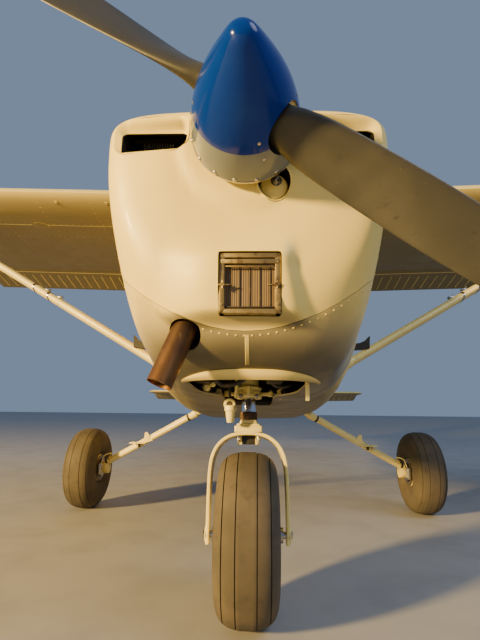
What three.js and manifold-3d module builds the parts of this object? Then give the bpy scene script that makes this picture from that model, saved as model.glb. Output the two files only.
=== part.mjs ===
// Four-seat light aircraft: high strut-braced wing, nose-wheel gear, one flat-four engine.
// Millimetres, +Z up, ground at z = 0. The nose points to -Y and the pilot's left is +X.
// Inside the airframe group, y is the distance aft of the firewall.
import * as THREE from 'three';
import { mergeVertices } from 'three/addons/utils/BufferGeometryUtils.js';
import Module from 'manifold-3d';

const wasm = await Module();
wasm.setup();

// Driving dimensions
const SPINNER_TIP = -1185;
const TAIL_END = 7000;
const SEAT_GAP = 0.4; // left between pieces that touch
const RUN_GAP = 6; // left round a piece that moves
const WIDE = 600; // half a width that clears the whole fuselage
const OVER = 50; // how far a cut runs past the surface it opens
const DEG = Math.PI / 180;

const TYRE_RADIUS = 284;
const TYRE_WIDTH = 218;
const NOSE_AXLE = { y: -209, z: TYRE_RADIUS };
const MAIN_AXLE = { x: 1232, y: 1542, z: TYRE_RADIUS };
const STRUT_RAKE = 6; // degrees, the nose leg's foot ahead of its head

const PROP_HUB = { y: -970, z: 1450 };
const PROP_RADIUS = 965;
const PROP_TURN = 35; // degrees below level of the blade that points to the pilot's left
const SPINNER_RADIUS = 150;

const WING = {
  leadY: 660, leadZ: 2035, chord: 1626, incidence: 5, dihedral: 1.73,
  straightTo: 2500, halfSpan: 5480, tipChord: 1120, tipWashout: 3,
};
const TAIL = { leadY: 5140, hingeY: 5760, z: 992, halfSpan: 1725, elevatorDroop: 20 };

const PAINT = { color: 0xe8dfc6, roughness: 0.35, metalness: 0 };
const BLUE_PAINT = { color: 0x0b2f7a, roughness: 0.2, metalness: 0 };
const BLADE_PAINT = { color: 0x34352f, roughness: 0.6, metalness: 0 };
const RUBBER = { color: 0x23221f, roughness: 0.9, metalness: 0 };
const STEEL = { color: 0x9a9a98, roughness: 0.35, metalness: 0.9 };
const DARK_STEEL = { color: 0x4a4640, roughness: 0.6, metalness: 0.7 };
const COPPER_BROWN = { color: 0x7a4a2c, roughness: 0.5, metalness: 0.8 };
const GLASS = { color: 0xbfd0d6, roughness: 0.05, metalness: 0 };
const RED_GLASS = { color: 0x8c1a14, roughness: 0.2, metalness: 0 };
const TRIM = { color: 0x3a3a3c, roughness: 0.7, metalness: 0 };
const SEAT_CLOTH = { color: 0x6d6658, roughness: 0.9, metalness: 0 };

const airframe = new THREE.Group();
airframe.position.y = -(SPINNER_TIP + TAIL_END) / 2;

// Solids: geometry is merged to bare positions, then joined and cut as closed bodies.
function solid(geometry) {
  const bare = geometry.clone();
  bare.deleteAttribute('normal');
  bare.deleteAttribute('uv');
  const merged = mergeVertices(bare, 1e-3);
  return new wasm.Manifold(new wasm.Mesh({
    numProp: 3,
    vertProperties: new Float32Array(merged.attributes.position.array),
    triVerts: new Uint32Array(merged.index.array),
  }));
}

function add(name, body, look) {
  const mesh = body.getMesh();
  const geometry = new THREE.BufferGeometry();
  geometry.setAttribute('position', new THREE.BufferAttribute(mesh.vertProperties, 3));
  geometry.setIndex(new THREE.BufferAttribute(mesh.triVerts, 1));
  const piece = new THREE.Mesh(geometry, new THREE.MeshStandardMaterial(look));
  piece.name = name;
  airframe.add(piece);
  return body;
}

function joined(bodies) {
  return bodies.reduce((sum, body) => sum.add(body));
}

// A closed skin through rings that have the same number of points, with flat ends.
function loft(rings) {
  const count = rings[0].length;
  const points = rings.flat();
  const index = [];
  for (let r = 0; r + 1 < rings.length; r += 1) {
    for (let i = 0; i < count; i += 1) {
      const a = r * count + i;
      const b = r * count + ((i + 1) % count);
      index.push(a, b, b + count, a, b + count, a + count);
    }
  }
  for (const [ring, start, flip] of [[rings[0], 0, true], [rings.at(-1), points.length - count, false]]) {
    for (const [a, b, c] of endTriangles(ring)) {
      if (flip) index.push(start + a, start + c, start + b);
      else index.push(start + a, start + b, start + c);
    }
  }
  const geometry = new THREE.BufferGeometry();
  const places = points.flatMap((p) => [p.x, p.y, p.z]);
  geometry.setAttribute('position', new THREE.Float32BufferAttribute(places, 3));
  geometry.setIndex(index);
  if (signedVolume(points, index) < 0) {
    for (let i = 0; i < index.length; i += 3) [index[i], index[i + 1]] = [index[i + 1], index[i]];
    geometry.setIndex(index);
  }
  return solid(geometry);
}

// Triangles that close a flat ring, wound the way the ring itself is.
function endTriangles(ring) {
  const facing = at(0, 0, 0);
  ring.forEach((p, i) => facing.add(new THREE.Vector3().crossVectors(p, ring[(i + 1) % ring.length])));
  const [nx, ny, nz] = facing.toArray().map(Math.abs);
  const flat = ring.map((p) => {
    if (nx >= ny && nx >= nz) return new THREE.Vector2(p.y, p.z);
    return ny >= nz ? new THREE.Vector2(p.x, p.z) : new THREE.Vector2(p.x, p.y);
  });
  const clockwise = THREE.ShapeUtils.isClockWise(flat);
  return THREE.ShapeUtils.triangulateShape(flat, []).map(([a, b, c]) => {
    const [along, other] = [flat[b].clone().sub(flat[a]), flat[c].clone().sub(flat[a])];
    const turn = along.cross(other);
    return (turn < 0) === clockwise ? [a, b, c] : [a, c, b];
  });
}

function signedVolume(points, index) {
  let sum = 0;
  for (let i = 0; i < index.length; i += 3) {
    const [a, b, c] = [points[index[i]], points[index[i + 1]], points[index[i + 2]]];
    sum += a.dot(new THREE.Vector3().crossVectors(b, c));
  }
  return sum;
}

function at(x, y, z) {
  return new THREE.Vector3(x, y, z);
}

// A box from its two corners
function block(x0, x1, y0, y1, z0, z1) {
  const geometry = new THREE.BoxGeometry(Math.abs(x1 - x0), Math.abs(y1 - y0), Math.abs(z1 - z0));
  geometry.translate((x0 + x1) / 2, (y0 + y1) / 2, (z0 + z1) / 2);
  return solid(geometry);
}

// A round bar between two points
function bar(from, to, radius, toRadius = radius, sides = 16) {
  const length = from.distanceTo(to);
  const geometry = new THREE.CylinderGeometry(toRadius, radius, length, sides);
  geometry.translate(0, length / 2, 0);
  const direction = to.clone().sub(from).normalize();
  geometry.applyQuaternion(new THREE.Quaternion().setFromUnitVectors(at(0, 1, 0), direction));
  geometry.translate(from.x, from.y, from.z);
  return solid(geometry);
}

// A round tube bent along a smooth line through its points
function bentBar(points, radius, steps, sides = 10) {
  const section = new THREE.Shape();
  section.absarc(0, 0, radius, 0, 2 * Math.PI);
  const path = new THREE.CatmullRomCurve3(points);
  const settings = { steps, curveSegments: sides, extrudePath: path, bevelEnabled: false };
  return solid(new THREE.ExtrudeGeometry(section, settings));
}

// A turned body about a line along X, Y or Z; profile holds [radius, place along the line].
function turned(profile, axis, centre, sides = 40) {
  const geometry = new THREE.LatheGeometry(profile.map(([r, along]) => new THREE.Vector2(r, along)), sides);
  if (axis === 'x') geometry.rotateZ(-Math.PI / 2);
  if (axis === 'z') geometry.rotateX(Math.PI / 2);
  geometry.translate(centre.x, centre.y, centre.z);
  return turnedOut(geometry);
}

function turnedOut(geometry) {
  const bare = geometry.clone();
  bare.deleteAttribute('normal');
  bare.deleteAttribute('uv');
  const merged = mergeVertices(bare, 1e-3);
  const place = merged.attributes.position;
  const pointAt = (_, i) => new THREE.Vector3().fromBufferAttribute(place, i);
  const points = Array.from({ length: place.count }, pointAt);
  const index = Array.from(merged.index.array);
  const kept = [];
  for (let i = 0; i < index.length; i += 3) {
    const [a, b, c] = index.slice(i, i + 3);
    if (a !== b && b !== c && a !== c) kept.push(a, b, c);
  }
  if (signedVolume(points, kept) < 0) {
    for (let i = 0; i < kept.length; i += 3) [kept[i], kept[i + 1]] = [kept[i + 1], kept[i]];
  }
  merged.setIndex(kept);
  return solid(merged);
}

// A plate with a side outline in y and z, from one x to another
function sidePlate(outline, x0, x1) {
  return loft([x0, x1].map((x) => outline.map(([y, z]) => at(x, y, z))));
}

// A plate with a front outline in x and z, from one y to another
function frontPlate(outline, y0, y1) {
  return loft([y0, y1].map((y) => outline.map(([x, z]) => at(x, y, z))));
}

// An outline with its corners rounded by arcs
function rounded(corners, radius, steps = 3) {
  const out = [];
  corners.forEach(([u, v], i) => {
    const corner = new THREE.Vector2(u, v);
    const before = new THREE.Vector2(...corners.at(i - 1)).sub(corner).normalize();
    const after = new THREE.Vector2(...corners[(i + 1) % corners.length]).sub(corner).normalize();
    for (let k = 0; k <= steps; k += 1) {
      const t = k / steps;
      const point = corner.clone()
        .addScaledVector(before, radius * (1 - t) * (1 - t))
        .addScaledVector(after, radius * t * t);
      out.push([point.x, point.y]);
    }
  });
  return out;
}

// Body sections. Each is an oval with squarish corners, given by its half width, its lowest,
// widest and highest levels, and how square it is below and above.
const QUADRANT_STEPS = 6;
const COWL_SECTIONS = [
  // y, half width, bottom, widest, top, squareness below, squareness above
  [-800, 305, 1050, 1435, 1530, 2.2, 3.4],
  [-782, 372, 985, 1445, 1566, 2.15, 4.2],
  [-740, 408, 912, 1458, 1590, 2.15, 4.8],
  [-660, 424, 846, 1450, 1603, 2.3, 4.8],
  [-520, 438, 804, 1440, 1616, 2.4, 4.6],
  [-250, 464, 768, 1410, 1638, 2.5, 4.4],
  [0, 492, 738, 1370, 1658, 3, 4.2],
];
const CABIN_SECTIONS = [
  [2.4, 492, 738, 1370, 1658, 3, 4.2],
  [260, 512, 722, 1330, 1672, 3.6, 4.2],
  [830, 530, 690, 1280, 2084, 4.6, 4.6],
  [1540, 530, 655, 1260, 2080, 5, 4.6],
  [2290, 500, 655, 1250, 2010, 4.6, 4.4],
  [3130, 392, 712, 1180, 1490, 4, 4],
];
const CONE_SECTIONS = [
  [3130, 392, 712, 1180, 1490, 4, 4],
  [5060, 175, 862, 1040, 1158, 3, 3],
  [6040, 70, 905, 985, 1062, 2.4, 2.4],
];

function bodyRing([y, half, bottom, widest, top, squareBelow, squareAbove], inset) {
  const steps = 4 * QUADRANT_STEPS;
  return Array.from({ length: steps }, (_, i) => {
    const turn = (2 * Math.PI * i) / steps;
    const [across, up] = [Math.cos(turn), Math.sin(turn)];
    const power = 2 / (up < 0 ? squareBelow : squareAbove);
    const reach = up < 0 ? widest - bottom - inset : top - widest - inset;
    return at(
      (half - inset) * Math.sign(across) * Math.abs(across) ** power,
      y,
      widest + reach * Math.sign(up) * Math.abs(up) ** power,
    );
  });
}

function bodySolid(sections, inset = 0) {
  return loft(sections.map((row) => bodyRing(row, inset)));
}

// The same sections with the first and last moved along, so that a cut runs clean through.
function stretched(sections, front, back) {
  const rows = sections.map((row) => [...row]);
  rows[0][0] += front;
  rows.at(-1)[0] += back;
  return rows;
}

// Cowling: one hollow shell, cut at its joints into nose bowl, top cover and bottom cover
const COWL_WALL = 14;
const COWL = { front: -800, bowlBack: -640, bowlBottom: 936, coverSplit: 1270, back: -2 - SEAT_GAP };
const INLET = { x0: 152, x1: 374, z0: 1445, z1: 1550, corner: 44 };
const FILTER = { half: 87, z0: 968, z1: 1146, face: -778, depth: 70, frame: 9, topFrame: 26 };
const STARTER_HOLE = { x: 84, z: 1332, radius: 46 };
const EXHAUST = {
  port: { x: -200, y: -540, z: 1170 },
  bend: { x: -138, y: -694, z: 1036 },
  end: { x: -224, y: -752, z: 787 },
  radius: 31, clearance: 10,
};
const OUTLET = { half: 168, y0: -520, y1: 120, corner: 60 };
const HUB_HOLE = 92; // radius of the hole behind the spinner

function mirroredOutline(outline) {
  return outline.map(([u, v]) => [-u, v]).reverse();
}

function rectangle(u0, u1, v0, v1) {
  return [[u0, v0], [u1, v0], [u1, v1], [u0, v1]];
}

function cowlShell() {
  const inside = bodySolid(stretched(COWL_SECTIONS, COWL_WALL, 60), COWL_WALL);
  const shell = bodySolid(stretched(COWL_SECTIONS, 0, COWL.back)).subtract(inside);
  const inlet = rounded(rectangle(INLET.x0, INLET.x1, INLET.z0, INLET.z1), INLET.corner);
  const filterHalf = FILTER.half + SEAT_GAP;
  const filterHole = rectangle(-filterHalf, filterHalf, FILTER.z0 - SEAT_GAP, FILTER.z1 + SEAT_GAP);
  const [ahead, within] = [COWL.front - 100, COWL.front + 200];
  const roundHole = (x, z, radius) => bar(at(x, ahead, z), at(x, COWL.front + 100, z), radius, radius, 20);
  const cuts = [
    frontPlate(inlet, ahead, within),
    frontPlate(mirroredOutline(inlet), ahead, within),
    frontPlate(filterHole, ahead, within),
    roundHole(STARTER_HOLE.x, STARTER_HOLE.z, STARTER_HOLE.radius),
    roundHole(0, PROP_HUB.z, HUB_HOLE),
    exhaustBar(EXHAUST.radius + EXHAUST.clearance),
    outletCut(),
  ];
  return cuts.reduce((left, cut) => left.subtract(cut), shell);
}

function outletCut() {
  const outline = rounded(rectangle(-OUTLET.half, OUTLET.half, OUTLET.y0, OUTLET.y1), OUTLET.corner, 5);
  return loft([600, 880].map((z) => outline.map(([x, y]) => at(x, y, z))));
}

function addCowling() {
  const shell = cowlShell();
  const gap = SEAT_GAP / 2;
  const [ahead, above, below] = [COWL.front - OVER, 1800, 500];
  const between = (y0, y1, z0, z1) => block(-WIDE, WIDE, y0, y1, z0, z1);
  const bowlZone = between(ahead, COWL.bowlBack - gap, COWL.bowlBottom + gap, above);
  const topZone = between(COWL.bowlBack + gap, OVER, COWL.coverSplit + gap, above);
  const bottomZone = between(COWL.bowlBack + gap, OVER, below, COWL.coverSplit - gap)
    .add(between(ahead, COWL.bowlBack + gap * 2, below, COWL.bowlBottom - gap));
  add('nose_bowl', shell.intersect(bowlZone), PAINT);
  add('cowl_upper', shell.intersect(topZone), PAINT);
  add('cowl_lower', shell.intersect(bottomZone), PAINT);
}

// Engine: one block at its real place, the starter's nose, the air filter and the exhaust stack
const ENGINE = { cylinderZ: 1210, noseY: -700, caseY: -690, backY: -120, noseRadius: 60 };
const CYLINDERS = { half: 300, y0: -600, y1: -190, top: 1410 };
const CRANKCASE = { half: 120, z0: 1120, z1: 1430 };
const MOUNT_TUBE = { radius: 12, nearX: 100, nearY: -140, farX: 262, farY: 8 };
const MOUNT_LEVELS = [[1150, 1000], [1400, 1430]]; // at the engine, at the firewall
const STARTER = { radius: 34, faceY: -806, boltY: -824, boltRadius: 12 };

const FIREWALL_SECTION = [474, 758, 1370, 1640, 3, 4.2]; // as a cowl section's, without its y

function addEngine() {
  add('engine_block', joined([
    block(-CYLINDERS.half, CYLINDERS.half, CYLINDERS.y0, CYLINDERS.y1, ENGINE.cylinderZ, CYLINDERS.top),
    block(-CRANKCASE.half, CRANKCASE.half, ENGINE.caseY, ENGINE.backY, CRANKCASE.z0, CRANKCASE.z1),
    bar(at(0, ENGINE.noseY, PROP_HUB.z), at(0, CYLINDERS.y0, PROP_HUB.z), ENGINE.noseRadius),
    ...engineMount(),
  ]), DARK_STEEL);
  const starterBar = (from, to, radius, sides) => bar(at(STARTER_HOLE.x, from, STARTER_HOLE.z),
    at(STARTER_HOLE.x, to, STARTER_HOLE.z), radius, radius, sides);
  add('starter_nose', joined([
    starterBar(STARTER.faceY, ENGINE.caseY - SEAT_GAP, STARTER.radius, 24),
    starterBar(STARTER.boltY, STARTER.faceY + 6, STARTER.boltRadius, 12),
  ]), STEEL);
  add('air_filter', airFilter(), DARK_STEEL);
  add('exhaust_stack', exhaustStack(), COPPER_BROWN);
  add('firewall', bodySolid([-2, 2].map((y) => [y, ...FIREWALL_SECTION])), STEEL);
}

// A deep frame, wider at its top, with the pleats standing in its mouth
function airFilter() {
  const { half, z0, z1, face, depth, frame, topFrame } = FILTER;
  const mouth = block(-half + frame, half - frame, face - 9, face + 14, z0 + frame, z1 - topFrame);
  return joined([block(-half, half, face, face + depth, z0, z1).subtract(mouth), ...filterPleats()]);
}

// Four tubes from the back of the engine to the firewall
function engineMount() {
  const { radius, nearX, nearY, farX, farY } = MOUNT_TUBE;
  const behind = block(-WIDE, WIDE, -2 - SEAT_GAP, 100, 900, 1500);
  return MOUNT_LEVELS.flatMap(([near, far]) => [1, -1].map((side) => (
    bar(at(side * nearX, nearY, near), at(side * farX, farY, far), radius, radius, 8).subtract(behind))));
}

function filterPleats() {
  const count = 8;
  const first = -FILTER.half + FILTER.frame;
  const pitch = (-2 * first) / count;
  return Array.from({ length: count - 1 }, (_, i) => {
    const x = first + pitch * (i + 1);
    return block(x - 3, x + 3, FILTER.face + 5, FILTER.face + 20, FILTER.z0 + 4, FILTER.z1 - 22);
  });
}

function exhaustBar(radius, inset = 0) {
  const bend = at(EXHAUST.bend.x, EXHAUST.bend.y, EXHAUST.bend.z);
  const end = at(EXHAUST.end.x, EXHAUST.end.y, EXHAUST.end.z);
  const along = end.clone().sub(bend).normalize();
  const [from, to] = [bend, end].map((point) => point.clone().addScaledVector(along, inset));
  return bar(from, to, radius, radius, 18);
}

function exhaustStack() {
  const port = at(EXHAUST.port.x, EXHAUST.port.y, EXHAUST.port.z);
  const bend = at(EXHAUST.bend.x, EXHAUST.bend.y, EXHAUST.bend.z);
  const headPipe = bar(port, bend, EXHAUST.radius, EXHAUST.radius, 14);
  const flange = at(port.x, port.y, ENGINE.cylinderZ - SEAT_GAP);
  const stub = bar(port, flange, EXHAUST.radius, EXHAUST.radius, 14);
  return joined([stub, headPipe, exhaustBar(EXHAUST.radius)]).subtract(exhaustBar(EXHAUST.radius - 3, 40));
}

// Propeller: two twisted blades on a hub, a backplate and the spinner
const BLADE_SECTIONS = [
  // radius, chord, thickness, pitch from the plane of turning, in degrees
  [60, 104, 78, 52],
  [150, 122, 52, 46],
  [300, 152, 26, 34],
  [520, 158, 17, 25],
  [740, 140, 12, 19],
  [880, 112, 9, 16],
  [945, 80, 7, 15],
  [PROP_RADIUS, 40, 5, 15],
];
const BLADE_POINTS = 12;
const HUB = { radius: 70, halfLength: 48, spacerRadius: 55 };

function blade(direction) {
  const along = at(direction * Math.cos(PROP_TURN * DEG), 0, -direction * Math.sin(PROP_TURN * DEG));
  const across = at(direction * Math.sin(PROP_TURN * DEG), 0, direction * Math.cos(PROP_TURN * DEG));
  return loft(BLADE_SECTIONS.map(([radius, chord, thickness, pitch]) => {
    const forward = at(0, -Math.sin(pitch * DEG), 0);
    const chordLine = across.clone().multiplyScalar(Math.cos(pitch * DEG)).add(forward);
    const thickLine = new THREE.Vector3().crossVectors(along, chordLine).normalize();
    return Array.from({ length: BLADE_POINTS }, (_, i) => {
      const turn = (2 * Math.PI * i) / BLADE_POINTS;
      return at(0, PROP_HUB.y, PROP_HUB.z)
        .addScaledVector(along, radius)
        .addScaledVector(chordLine, (chord / 2) * Math.cos(turn))
        .addScaledVector(thickLine, (thickness / 2) * Math.sin(turn));
    });
  }));
}

const SPINNER_BASE = 128; // the spinner's back edge, behind the blades' line
const SPINNER_NOSE = 215; // its tip, ahead of that line
const SPINNER_WALL = 5;
const SPINNER_SIDES = 28;
const BACKPLATE_RADIUS = SPINNER_RADIUS - SPINNER_WALL - 1.2;

function spinnerProfile(inset, steps) {
  return Array.from({ length: steps + 1 }, (_, i) => {
    const t = i / steps;
    const radius = (SPINNER_RADIUS - inset) * Math.sin((t * Math.PI) / 2) ** 0.82;
    const length = SPINNER_NOSE + SPINNER_BASE - inset;
    return [radius, -SPINNER_NOSE + inset + length * (1 - Math.cos((t * Math.PI) / 2)) ** 0.92];
  });
}

function addPropeller() {
  const hub = at(0, PROP_HUB.y, PROP_HUB.z);
  const outer = turned([...spinnerProfile(0, 10), [0, SPINNER_BASE]], 'y', hub, SPINNER_SIDES);
  const open = [[SPINNER_RADIUS - SPINNER_WALL, SPINNER_BASE + 20], [0, SPINNER_BASE + 20]];
  const inner = turned([...spinnerProfile(SPINNER_WALL, 5), ...open], 'y', hub, SPINNER_SIDES);
  const hubPoint = (y) => at(0, y, PROP_HUB.z);
  const hubBar = (from, to, radius) => bar(hubPoint(from), hubPoint(to), radius, radius, 24);
  const hubBack = PROP_HUB.y + HUB.halfLength;
  const blades = joined([blade(1), blade(-1), hubBar(PROP_HUB.y - HUB.halfLength, hubBack, HUB.radius)]);
  const plate = [[0, SPINNER_BASE - 12], [BACKPLATE_RADIUS, SPINNER_BASE - 12],
    [BACKPLATE_RADIUS, SPINNER_BASE - 4], [0, SPINNER_BASE - 4]];
  const slots = joined([1, -1].map(bladeSlot));
  add('spinner', outer.subtract(inner).subtract(slots), BLUE_PAINT);
  add('propeller', blades, BLADE_PAINT);
  add('spinner_backplate', joined([
    turned(plate, 'y', hub, SPINNER_SIDES),
    hubBar(hubBack + SEAT_GAP, ENGINE.noseY - SEAT_GAP, HUB.spacerRadius),
  ]), STEEL);
}

// The opening round a blade's shank, a few millimetres wider than the blade there
function bladeSlot(direction) {
  const along = at(direction * Math.cos(PROP_TURN * DEG), 0, -direction * Math.sin(PROP_TURN * DEG));
  const hub = at(0, PROP_HUB.y, PROP_HUB.z);
  return bar(hub.clone().addScaledVector(along, 75), hub.clone().addScaledVector(along, 260), 66, 66, 16);
}

// Cabin: a hollow body with its windows and doors cut, floor, panel and seats
const CABIN_WALL = 28;
const GLASS_DEPTH = 10; // below the outer skin
const GLASS_THICK = 6;
const DOOR_CORNERS = [[800, 830], [1640, 790], [1700, 1180], [1655, 1868], [1075, 1878], [800, 1480]];
const DOOR_OUTLINE = rounded(DOOR_CORNERS, 50);
const DOOR_WINDOW = rounded([[905, 1460], [1622, 1452], [1598, 1800], [1128, 1806]], 60);
const SIDE_WINDOW = rounded([[1788, 1455], [2330, 1490], [2150, 1800], [1758, 1806]], 60);
const WINDSHIELD = [[286, 1664], [440, 1664], [800, 1948], [800, 2150], [286, 2150]];
const REAR_WINDOW = [[2400, 1775], [2960, 1532], [3030, 1560], [2900, 1850], [2400, 2150]];
const FLOOR = { y0: 40, y1: 2560, z0: 772, z1: 790 };
const DOOR_HINGE = { x: 548, y: 786 };

function grown(outline, by) {
  const centre = outline.reduce((sum, [u, v]) => sum.add(new THREE.Vector2(u, v)), new THREE.Vector2())
    .divideScalar(outline.length);
  return outline.map(([u, v]) => {
    const out = new THREE.Vector2(u, v).sub(centre);
    out.setLength(out.length() + by);
    return [centre.x + out.x, centre.y + out.y];
  });
}

function cabinLayer(depth, thickness) {
  const rows = stretched(CABIN_SECTIONS, -20, 20);
  return bodySolid(rows, depth).subtract(bodySolid(stretched(rows, -20, 20), depth + thickness));
}

function onSide(outline, side) {
  return sidePlate(outline, side * 300, side * 700);
}

function addCabin() {
  const inner = bodySolid(stretched(CABIN_SECTIONS, -20, 20), CABIN_WALL);
  const shell = bodySolid(CABIN_SECTIONS).subtract(inner);
  const layer = cabinLayer(GLASS_DEPTH, GLASS_THICK);
  const across = (outline) => sidePlate(outline, -700, 700);
  const cuts = [across(WINDSHIELD), across(REAR_WINDOW)];
  for (const [side, hand] of [[1, 'left'], [-1, 'right']]) {
    cuts.push(onSide(grown(DOOR_OUTLINE, RUN_GAP), side), onSide(SIDE_WINDOW, side));
    const door = shell.intersect(onSide(DOOR_OUTLINE, side)).subtract(onSide(DOOR_WINDOW, side));
    add(`door_${hand}`, joined([door, doorHandle(side), doorHinges(side, true)]), PAINT);
    add(`door_glass_${hand}`, layer.intersect(onSide(grown(DOOR_WINDOW, -SEAT_GAP), side)), GLASS);
    add(`side_glass_${hand}`, layer.intersect(onSide(grown(SIDE_WINDOW, -SEAT_GAP), side)), GLASS);
  }
  const fittings = [1, -1].flatMap((side) => [cabinStep(side), doorHinges(side, false)]);
  const open = cuts.reduce((left, cut) => left.subtract(cut), shell);
  add('cabin_shell', joined([open, ...fittings]), PAINT);
  add('windshield', layer.intersect(across(grown(WINDSHIELD, -SEAT_GAP))), GLASS);
  add('rear_window', layer.intersect(across(grown(REAR_WINDOW, -SEAT_GAP))), GLASS);
  addInterior(bodySolid(CABIN_SECTIONS, CABIN_WALL + SEAT_GAP));
}

// Two hinges a side: a fixed knuckle on the cabin and one above it on the door
const HINGE_LEVELS = [1050, 1360];
const KNUCKLE = { radius: 8, height: 32 };
const HINGE_ROOT = 512; // how far in the hinges' leaves reach, inside the skin
const DOOR_HANDLE = { x0: 516, x1: 552, y0: 1500, y1: 1610, z0: 1318, z1: 1334 };
const STEP = { x0: 490, x1: 574, lip: 12, y0: 238, y1: 268, z0: 1020, z1: 1052 };

function doorHinges(side, onDoor) {
  const { x, y } = DOOR_HINGE;
  return joined(HINGE_LEVELS.map((level) => {
    const z0 = onDoor ? level + KNUCKLE.height + SEAT_GAP : level;
    const z1 = z0 + KNUCKLE.height;
    const knuckle = bar(at(side * x, y, z0), at(side * x, y, z1), KNUCKLE.radius, KNUCKLE.radius, 10);
    if (!onDoor) return knuckle.add(block(side * HINGE_ROOT, side * x, y - 16, y, z0, z1));
    const strap = block(side * (x - 13), side * (x + 3), y, y + 44, z0, z1);
    return joined([knuckle, strap, block(side * HINGE_ROOT, side * (x - 8), y + 24, y + 44, z0, z1)]);
  }));
}

function doorHandle(side) {
  const { x0, x1, y0, y1, z0, z1 } = DOOR_HANDLE;
  return block(side * x0, side * x1, y0, y1, z0, z1);
}

// The mounting step on the cowl side of the cabin, its outer end turned up
function cabinStep(side) {
  const { x0, x1, lip, y0, y1, z0, z1 } = STEP;
  return joined([
    block(side * x0, side * (x1 - 2), y0, y1, z0, z0 + lip),
    block(side * (x1 - lip), side * x1, y0, y1, z0, z1),
  ]);
}

const PANEL = { y: 420, z0: 1340, z1: 1632, thick: 26, shelfFront: 290, shelfBack: 480, shelfThick: 14 };
const SEAT_X = 232; // the front seats and the yokes, from the middle
const YOKE = { half: 130, grip: 24, shaftZ: 1450, shaftRadius: 11, y0: 600, y1: 624, top: 1540 };
const SEAT_TABLE = [
  // node, centre across, front, half width, back height
  ['seat_left', SEAT_X, 900, 205, 1600],
  ['seat_right', -SEAT_X, 900, 205, 1600],
  ['seat_rear', 0, 1730, 430, 1560],
];

// A control yoke: its shaft out of the panel, the bar across and a grip up at each end
function yoke(side) {
  const { half, grip, shaftZ, shaftRadius, y0, y1, top } = YOKE;
  const [x, z0, z1] = [side * SEAT_X, shaftZ - grip / 2, shaftZ + grip / 2];
  return [
    bar(at(x, PANEL.y + 10, shaftZ), at(x, (y0 + y1) / 2, shaftZ), shaftRadius, shaftRadius, 12),
    block(x - half, x + half, y0, y1, z0, z1),
    block(x - half, x - half + grip, y0, y1, z0, top),
    block(x + half - grip, x + half, y0, y1, z0, top),
  ];
}

function addInterior(inside) {
  add('cabin_floor', inside.intersect(block(-WIDE, WIDE, FLOOR.y0, FLOOR.y1, FLOOR.z0, FLOOR.z1)), TRIM);
  const { y, z0, z1, thick, shelfFront, shelfBack, shelfThick } = PANEL;
  add('instrument_panel', joined([
    inside.intersect(block(-WIDE, WIDE, y, y + thick, z0, z1)),
    inside.intersect(block(-WIDE, WIDE, shelfFront, shelfBack, z1 - shelfThick, z1)),
    ...yoke(1),
    ...yoke(-1),
  ]), TRIM);
  for (const [node, x, front, half, height] of SEAT_TABLE) {
    const side = [
      [front, 960], [front + 30, 1075], [front + 430, 1055],
      [front + 560, height], [front + 640, height], [front + 560, 960],
    ];
    const cushion = sidePlate(rounded(side, 30), x - half, x + half);
    const legs = block(x - half + 30, x + half - 30, front + 60, front + 480, FLOOR.z1 + SEAT_GAP, 970);
    const tunnel = block(x - half - 10, x + half + 10, front + 130, front + 410, FLOOR.z1 - 10, 925);
    add(node, inside.intersect(cushion.add(legs.subtract(tunnel))), SEAT_CLOTH);
  }
}

// Tail cone: a thin hollow shell open to the cabin, cut for the stabilizer and the elevator tube
const CONE_WALL = 9;

function addTailCone(stabilizerCut) {
  const rows = stretched(CONE_SECTIONS, SEAT_GAP, 0);
  const inner = bodySolid(stretched(CONE_SECTIONS, -20, -CONE_WALL), CONE_WALL);
  const tube = elevatorBar(300, ELEVATOR_TUBE + SEAT_GAP);
  const lug = tieDownLug(0, TAIL_TIE.y, TAIL_TIE.z, 60);
  const cone = bodySolid(rows).subtract(inner).subtract(stabilizerCut).subtract(tube);
  add('tail_cone', cone.add(lug), PAINT);
}

// Control surfaces turn about a hinge inside their rounded nose and taper to a thin back edge.
const NOSE_STEPS = 6;

function controlRing({ hinge, aft, up, nose, chord, edge }) {
  const points = [];
  for (let i = 0; i <= NOSE_STEPS; i += 1) {
    const turn = Math.PI / 2 + (Math.PI * i) / NOSE_STEPS;
    const [across, rise] = [nose * Math.cos(turn), nose * Math.sin(turn)];
    points.push(hinge.clone().addScaledVector(aft, across).addScaledVector(up, rise));
  }
  const back = hinge.clone().addScaledVector(aft, chord);
  points.push(back.clone().addScaledVector(up, -edge / 2), back.clone().addScaledVector(up, edge / 2));
  return points;
}

function tilted(angle) {
  return {
    aft: at(0, Math.cos(angle * DEG), -Math.sin(angle * DEG)),
    up: at(0, Math.sin(angle * DEG), Math.cos(angle * DEG)),
  };
}

// A hinge of a control surface: an ear on what carries it, and a pin across a notch in its nose
const EAR = { thick: 8, height: 11, pin: 5, notchSide: 3, behind: 17 };

function hingeAt(first, last, share, aft) {
  const centre = first.clone().lerp(last, share);
  const along = last.clone().sub(first).normalize();
  const up = new THREE.Vector3().crossVectors(along, aft).normalize();
  return { centre, along, back: new THREE.Vector3().crossVectors(up, along).normalize(), up };
}

function hingeBlock({ centre, along, back, up }, width, from, to, height) {
  const geometry = new THREE.BoxGeometry(width, to - from, 2 * height);
  geometry.translate(0, (from + to) / 2, 0);
  geometry.applyMatrix4(new THREE.Matrix4().makeBasis(along, back, up));
  geometry.translate(centre.x, centre.y, centre.z);
  return solid(geometry);
}

function pinBar({ centre, along }, half, radius, sides) {
  const [from, to] = [-half, half].map((reach) => centre.clone().addScaledVector(along, reach));
  return bar(from, to, radius, radius, sides);
}

function hingeEar(place, reach) {
  const plate = hingeBlock(place, EAR.thick, -reach, 0, EAR.height);
  const round = pinBar(place, EAR.thick / 2, EAR.height, 10);
  return plate.add(round).subtract(pinBar(place, EAR.thick, EAR.pin + 0.8, 8));
}

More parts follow.
